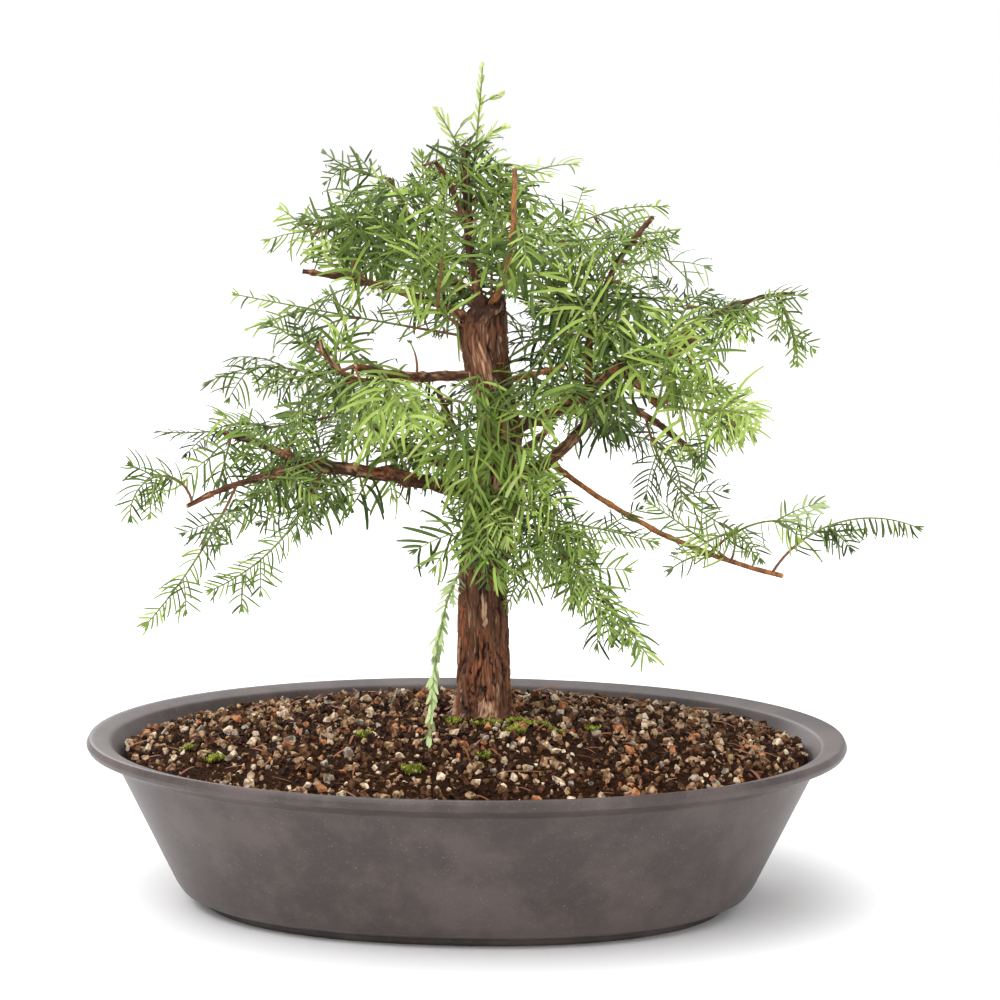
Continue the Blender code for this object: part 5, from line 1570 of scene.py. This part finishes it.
class Frond:
    """One line that needles stand on.

    It knows its path, where its needles start, their length, which way it faces and its tint.
    """

    def __init__(self, path, bare, needle, normal, tint, rank, draw):
        self.path = path
        self.bare = bare
        self.needle = needle
        self.normal = np.asarray(normal) / np.linalg.norm(normal)
        self.tint = tint
        self.rank = rank
        self.draw = draw
        self.wild = min(1.0, max(0.0, (needle / MM - WILD_FROM) / WILD_OVER))
        self.hangs = False
        self.gaps = 0.0

    def frame(self, index):
        """Direction along the path, and the side that the spray spreads to."""
        low, high = max(index - 1, 0), min(index + 1, len(self.path) - 1)
        along = self.path[high] - self.path[low]
        along = along / np.linalg.norm(along)
        side = np.cross(along, self.normal)
        return along, side / max(np.linalg.norm(side), 1e-9)

    def sides(self, count, reach):
        """Side sprays leave the line left and right in turn and get shorter towards its tip."""
        made = []
        steps = len(self.path) - 1
        draw = self.draw
        for i in range(count):
            share = self.bare + (0.9 - self.bare) * (i + 0.35) / count
            index = int(round(share * steps))
            along, side = self.frame(index)
            angle = math.radians(SIDE_ANGLE + draw.uniform(-9.0, 9.0) * (1.0 + 1.6 * self.wild))
            hand = 1.0 if i % 2 == 0 else -1.0
            way = along * math.cos(angle) + side * hand * math.sin(angle)
            size = reach * (1.0 - 0.45 * share) * draw.uniform(0.85, 1.05)
            heading = math.degrees(math.atan2(way[1], way[0]))
            rise = math.degrees(math.asin(max(-1.0, min(1.0, way[2]))))
            turn = draw.uniform(-14.0, 14.0)
            lift = draw.uniform(-34.0, -12.0)
            path = grow_path(self.path[index], heading, rise, size, turn, lift, SIDE_STEPS)
            same, younger, older = self.tint, YOUNGER[self.tint], OLDER[self.tint]
            tint = draw.choice((same, same, same, younger, older, older))
            tilt = np.array([draw.uniform(-0.35, 0.35), draw.uniform(-0.2, 0.2), draw.uniform(-0.2, 0.4)])
            tilt = tilt * (1.0 + 2.0 * self.wild)
            needle = self.needle * (0.90 + 0.10 * self.wild)
            side_spray = Frond(path, 0.08, needle, self.normal + tilt, tint, self.rank + 1, draw)
            side_spray.gaps = self.gaps
            made.append(side_spray)
        return made


def grow_fronds():
    """Every stem and side spray, from the same tables and rule as the solids, carried to finer twigs."""
    paths = limb_paths()
    fronds = []
    rows = [(*row, TINT_OF.get(row[0], "fresh")) for row in FOLIAGE] + list(FRONDS)
    for row in rows:
        name, parent, where, heading, rise, size, turn, lift, sides, reach, needle, face, bare, tint = row
        start = trunk_point(where) if parent == "trunk" else path_point(paths[parent], where)
        path = grow_path(start, heading, rise, size * MM, turn, lift)
        paths[name] = path
        normal = [0.0, -face, 1.0 - face + 0.15]
        if parent.startswith("bough_back_") or name.startswith("foliage_back"):
            normal = [0.0, face, 1.0]
        frond = Frond(path, bare, needle * MM, normal, tint, 0, random.Random(f"{SEED} {name}"))
        frond.hangs = name in HANGING
        frond.gaps = THINNED.get(name, 0.0)
        made = frond.sides(sides, reach * MM)
        finer = []
        for side in made:
            if side.wild == 0.0 and np.linalg.norm(side.path[-1] - side.path[0]) > FINER_FROM * MM:
                finer += side.sides(2, FINER_REACH * MM)
        fronds += [frond] + made + finer
    return fronds


def past_box(point):
    low, high = CAD_BOX
    return any(point[i] < low[i] - NEEDLE_SPARE or point[i] > high[i] + NEEDLE_SPARE for i in range(3))


def habit(frond, young):
    """A frond's step between needles against the plain one, the share missing, and the needles' width."""
    if frond.tint == "grey":
        return 1.85, max(0.22, frond.gaps), 0.72
    missing = max(0.22 if young else 0.06 + 0.08 * frond.wild, frond.gaps)
    if frond.tint == "pale":
        return 0.95, missing, 1.30
    if young:
        return 1.80, missing, 0.95
    return 1.05 + 1.10 * frond.wild, missing, 0.82 + 0.64 * frond.wild


def needle_points(frond, settings, store):
    """The roots, ways, faces and sizes of one frond's needles, in two ranks that meet at its tip."""
    path, draw, wild = frond.path, frond.draw, frond.wild
    walked = walk(path)
    whole = walked[-1]
    place = max(whole * frond.bare, 0.6 * MM)
    young = frond.needle < YOUNG_NEEDLE * MM and frond.tint in ("tip", "bright", "pale")
    step, missing, slender = habit(frond, young)
    pitch = settings.pitch * step
    while place < whole:
        share = place / whole
        point = np.array([np.interp(place, walked, path[:, i]) for i in range(3)])
        index = min(max(int(np.searchsorted(walked, place)), 1), len(path) - 1)
        along, side = frond.frame(index)
        over = np.cross(side, along)
        if over @ frond.normal < 0.0:
            over = -over
        spread = 0.80 + 0.20 * math.sin(math.pi * min(1.0, share * 0.9 + 0.18))
        if share > 0.8:
            spread *= 1.0 - 1.3 * (share - 0.8)
        slant = math.radians(24.0 + 24.0 * share * share + 30.0 * young)
        for hand in (-1.0, 1.0):
            if draw.random() < missing:
                continue
            lean = slant + math.radians(draw.uniform(-9.0, 9.0) * (1.0 + 1.3 * wild))
            lift = draw.uniform(-0.16, 0.20) + wild * draw.uniform(-0.30, 0.42)
            way = side * hand * math.cos(lean) + along * math.sin(lean) + over * lift
            if frond.hangs and share > HANG_FROM:
                way = way * 0.30 + along * 0.15 - np.array([0.0, 0.0, 1.0])
            way = way / np.linalg.norm(way)
            face = over + side * hand * 0.25 + along * draw.uniform(-0.35, 0.35) * (1.0 + wild)
            reach = frond.needle * spread * (1.0 + LONGER * wild) * draw.uniform(0.82 - 0.06 * wild, 1.12)
            root = point + along * draw.uniform(-0.4, 0.4) * MM
            tip = root + way * reach
            if past_box(tip):
                continue
            shape = draw.choice(BENDS_FOR_SHORT if reach < 8.5 * MM else BENDS_FOR_LONG)
            if shape:
                falls = np.cross(way, face)[2] < 0.0
                swing = falls if wild > 0.2 or draw.random() < 0.3 else hand < 0.0
                shape += 0 if swing == (shape % 2 == 1) else (1 if shape % 2 else -1)
            lot = draw.random()
            here = frond.tint
            if lot < 0.20:
                here = OLDER[here]
            elif lot > 0.93 - 0.25 * (share > 0.85):
                here = YOUNGER[here]
            wide = draw.uniform(0.80, 1.15) * slender
            store[here].append((root, way, face, reach, wide, shape))
        place += pitch * draw.uniform(0.85, 1.15) * (1.0 - 0.25 * share)
    along, side = frond.frame(len(path) - 1)
    over = np.cross(side, along)
    for turn in TIP_FAN:
        ahead = along * math.cos(math.radians(turn)) + side * math.sin(math.radians(turn))
        way = ahead + over * draw.uniform(-0.1, 0.1)
        reach = frond.needle * draw.uniform(0.28, 0.44)
        tip = path[-1] + way * reach
        if past_box(tip):
            continue
        store[frond.tint].append((path[-1], way, over, reach, 0.75, 0))


def point_mesh(name, rows):
    mesh = bpy.data.meshes.new(name)
    mesh.from_pydata([tuple(row[0]) for row in rows], [], [])
    for key, kind, column in (("way", "FLOAT_VECTOR", 1), ("face", "FLOAT_VECTOR", 2)):
        layer = mesh.attributes.new(key, kind, "POINT")
        layer.data.foreach_set("vector", np.array([row[column] for row in rows], dtype=np.float32).ravel())
    for key, kind, column in (("reach", "FLOAT", 3), ("wide", "FLOAT", 4), ("shape", "INT", 5)):
        layer = mesh.attributes.new(key, kind, "POINT")
        numbers = np.array([row[column] for row in rows], dtype=np.int32 if kind == "INT" else np.float32)
        layer.data.foreach_set("value", numbers)
    return mesh


# Bends by length: short needles stay nearly straight, and long ones curve like sickles.
BENDS_FOR_SHORT = (0, 0, 1, 1, 3)
BENDS_FOR_LONG = (1, 3, 5, 5, 7, 7, 9)
# Bends of a needle: how far its tip drops, as a share of its length,
# and how far it swings, in needle widths.
NEEDLE_BENDS = (
    (0.06, 0.0),
    (0.14, 1.0),
    (0.14, -1.0),
    (0.30, 3.4),
    (0.30, -3.4),
    (0.64, 1.6),
    (0.64, -1.6),
    (0.44, 5.6),
    (0.44, -5.6),
    (0.54, 4.0),
    (0.54, -4.0),
)


def build_needles(settings):
    store = {tint: [] for tint in TINTS}
    for frond in grow_fronds():
        needle_points(frond, settings, store)
    bent = [needle_mesh(f"needle_{i}", *bend) for i, bend in enumerate(NEEDLE_BENDS)]
    shapes = shape_collection("needle_shapes", bent)
    recipe = needle_recipe()
    masses = [row[0] for row in FOLIAGE]
    for tint in TINTS:
        ground = put("needle_roots", point_mesh("needle_roots", store[tint]))
        # The deep and dark finishes are partly painted shade.
        finish = leaf_finish("needle_" + tint, getattr(settings, tint))
        values = {"Shapes": shapes, "Width": settings.width, "Finish": finish}
        piece = recipe.run("needles_" + tint, ground, values)
        if tint == "fresh":
            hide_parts(*masses)
        discard(ground)
    drop_collection(shapes)
    bpy.data.node_groups.remove(recipe.tree)


def build_twigs(settings):
    """Tapering stems: woody towards their foot, green further out."""
    woody, green = Parts(), Parts()
    for frond in grow_fronds():
        thick, thin = (STEM_BASE, STEM_TIP) if frond.rank == 0 else (SIDE_BASE, SIDE_TIP)
        if frond.rank > 1:
            thick, thin = SIDE_TIP, SIDE_TIP * 0.8
        fine = resample(frond.path, 1.6 * MM)
        radii = np.linspace(thick, thin, len(fine)) * MM
        split = 0
        if frond.rank == 0 and frond.tint in ("deep", "dark", "fresh", "grey"):
            split = int(len(fine) * min(0.60, frond.bare + 0.10))
        if split >= 2:
            woody.add(*tube_of(fine[: split + 1], radii[: split + 1], 7))
        if len(fine) - split >= 2:
            green.add(*tube_of(fine[split:], radii[split:], 6))
    brown, leafy = twig_finish("woody_twig", settings.brown), twig_finish("green_twig", settings.twig)
    add_piece("twigs_woody", woody.mesh("twigs_woody"), brown)
    add_piece("twigs_green", green.mesh("twigs_green"), leafy)


# Camera: turned and raised as the photographer stood, in degrees, and its aim and distance in metres.
CAMERA_TURN = 5.7
CAMERA_RISE = 7.8
CAMERA_AIM = (0.0139, 0.0, 0.1605)
CAMERA_FAR = 1.25
CAMERA_LENS = 113.45


# Area lights: name, place and size in metres, and power against the key light's.
LIGHTS = (
    ("key_light", (-0.9, -1.1, 1.7), 1.3, 1.0),
    ("fill_light", (1.3, -1.2, 0.8), 1.4, 0.36),
    ("rim_light", (-0.7, 1.2, 0.9), 1.0, 1.25),
)
# Height in metres that the area lights aim at, where the daylight comes from, and its spread in degrees.
LIGHT_AIM = 0.15
DAY_FROM = (-0.25, -0.42, 1.0)
DAY_SPREAD = 60.0
FLOOR_SIDES = 96


def facing(way):
    """The turn that points an object's own Z axis a way."""
    return way.to_track_quat("Z", "Y").to_euler()


def build_stage(settings):
    """Floor, even light, lamps and camera."""
    ring = []
    for i in range(FLOOR_SIDES):
        angle = 2 * math.pi * i / FLOOR_SIDES
        ring.append((settings.reach * math.cos(angle), settings.reach * math.sin(angle), 0.0))
    mesh = mesh_of("plain_floor", ring, [tuple(range(FLOOR_SIDES))], smooth=False)
    floor = put("plain_floor", mesh)
    paper = Finish("plain_paper", Metallic=0.0, Roughness=0.9, Specular_IOR_Level=0.1)
    paper.shader.inputs["Base Color"].default_value = (*settings.floor, 1.0)
    mesh.materials.append(paper.material)
    world = bpy.data.worlds.new("even_light")
    world.use_nodes = True
    sky = Tree(world.node_tree)
    seen = sky.add("ShaderNodeLightPath", output="Is Camera Ray")
    glow = sky.tree.nodes["Background"]
    glow.inputs["Color"].default_value = (1.0, 1.0, 1.0, 1.0)
    sky.feed(glow.inputs["Strength"], settings.sky + (1.0 - settings.sky) * seen)
    bpy.context.scene.world = world
    for name, place, size, share in LIGHTS:
        data = bpy.data.lights.new(name, "AREA")
        data.size = size
        data.energy = settings.key * share
        light = put(name, data)
        light.location = place
        light.rotation_euler = facing(Vector(place) - Vector((0.0, 0.0, LIGHT_AIM)))
    data = bpy.data.lights.new("day_light", "SUN")
    data.energy = settings.day
    data.angle = math.radians(DAY_SPREAD)
    put("day_light", data).rotation_euler = facing(Vector(DAY_FROM))
    turn, rise = math.radians(CAMERA_TURN), math.radians(CAMERA_RISE)
    back = Vector((math.sin(turn) * math.cos(rise), -math.cos(turn) * math.cos(rise), math.sin(rise)))
    data = bpy.data.cameras.new("front_camera")
    data.sensor_width = 36.0
    data.lens = CAMERA_LENS
    data.clip_start = 0.05
    data.clip_end = 50.0
    camera = put("front_camera", data)
    camera.location = Vector(CAMERA_AIM) + back * CAMERA_FAR
    camera.rotation_euler = facing(back)
    scene = bpy.context.scene
    scene.camera = camera
    scene.view_settings.view_transform = "Standard"


class REDWOOD_OT_stage(bpy.types.Operator):
    """Sets out the floor, the soft lights and the camera"""

    bl_idname = "redwood.stage"
    bl_label = "Stage"

    def execute(self, context):
        build_stage(context.scene.redwood_stage)
        return {"FINISHED"}


class REDWOOD_OT_pot(bpy.types.Operator):
    """Makes the oval pot"""

    bl_idname = "redwood.pot"
    bl_label = "Pot"

    def execute(self, context):
        build_pot(context.scene.redwood_pot)
        return {"FINISHED"}


class REDWOOD_OT_soil(bpy.types.Operator):
    """Fills the pot with soil"""

    bl_idname = "redwood.soil"
    bl_label = "Soil"

    def execute(self, context):
        build_bed(context.scene.redwood_soil)
        return {"FINISHED"}


class REDWOOD_OT_grit(bpy.types.Operator):
    """Strews stones and crumbs over the soil"""

    bl_idname = "redwood.grit"
    bl_label = "Grit"

    def execute(self, context):
        build_grit(context.scene.redwood_soil)
        return {"FINISHED"}


class REDWOOD_OT_moss(bpy.types.Operator):
    """Grows moss by the trunk and strews fallen needles"""

    bl_idname = "redwood.moss"
    bl_label = "Moss and litter"

    def execute(self, context):
        build_moss(context.scene.redwood_soil)
        return {"FINISHED"}


class REDWOOD_OT_trunk(bpy.types.Operator):
    """Makes the trunk with its cracked bark"""

    bl_idname = "redwood.trunk"
    bl_label = "Trunk"

    def execute(self, context):
        build_trunk(context.scene.redwood_bark)
        return {"FINISHED"}


class REDWOOD_OT_boughs(bpy.types.Operator):
    """Makes the boughs, young shoots and sawn ends"""

    bl_idname = "redwood.boughs"
    bl_label = "Boughs"

    def execute(self, context):
        build_boughs(context.scene.redwood_bark)
        return {"FINISHED"}


class REDWOOD_OT_twigs(bpy.types.Operator):
    """Makes the twigs that the needles stand on"""

    bl_idname = "redwood.twigs"
    bl_label = "Twigs"

    def execute(self, context):
        build_twigs(context.scene.redwood_foliage)
        return {"FINISHED"}


class REDWOOD_OT_needles(bpy.types.Operator):
    """Dresses every twig with needles, one piece for each tint"""

    bl_idname = "redwood.needles"
    bl_label = "Needles"

    def execute(self, context):
        build_needles(context.scene.redwood_foliage)
        return {"FINISHED"}


STEPS_IN_ORDER = (
    REDWOOD_OT_stage,
    REDWOOD_OT_pot,
    REDWOOD_OT_soil,
    REDWOOD_OT_grit,
    REDWOOD_OT_moss,
    REDWOOD_OT_trunk,
    REDWOOD_OT_boughs,
    REDWOOD_OT_twigs,
    REDWOOD_OT_needles,
)
SETTINGS = {
    "redwood_pot": PotSettings,
    "redwood_soil": SoilSettings,
    "redwood_bark": BarkSettings,
    "redwood_foliage": FoliageSettings,
    "redwood_stage": StageSettings,
}


class REDWOOD_PT_panel(bpy.types.Panel):
    bl_label = "Bonsai Dawn Redwood"
    bl_idname = "REDWOOD_PT_panel"
    bl_space_type = "VIEW_3D"
    bl_region_type = "UI"
    bl_category = "Redwood"

    def draw(self, context):
        layout = self.layout
        for operator in STEPS_IN_ORDER:
            layout.operator(operator.bl_idname)
        for name, kind in SETTINGS.items():
            box = layout.box()
            for key in kind.__annotations__:
                box.prop(getattr(context.scene, name), key)


def register():
    for kind in (*SETTINGS.values(), *STEPS_IN_ORDER, REDWOOD_PT_panel):
        bpy.utils.register_class(kind)
    for name, kind in SETTINGS.items():
        setattr(bpy.types.Scene, name, bpy.props.PointerProperty(type=kind))


def unregister():
    for name in SETTINGS:
        delattr(bpy.types.Scene, name)
    for kind in reversed((*SETTINGS.values(), *STEPS_IN_ORDER, REDWOOD_PT_panel)):
        bpy.utils.unregister_class(kind)


def main():
    register()
    for step in STEPS_IN_ORDER:
        getattr(bpy.ops.redwood, step.bl_idname.partition(".")[2])()


if __name__ == "__main__":
    main()
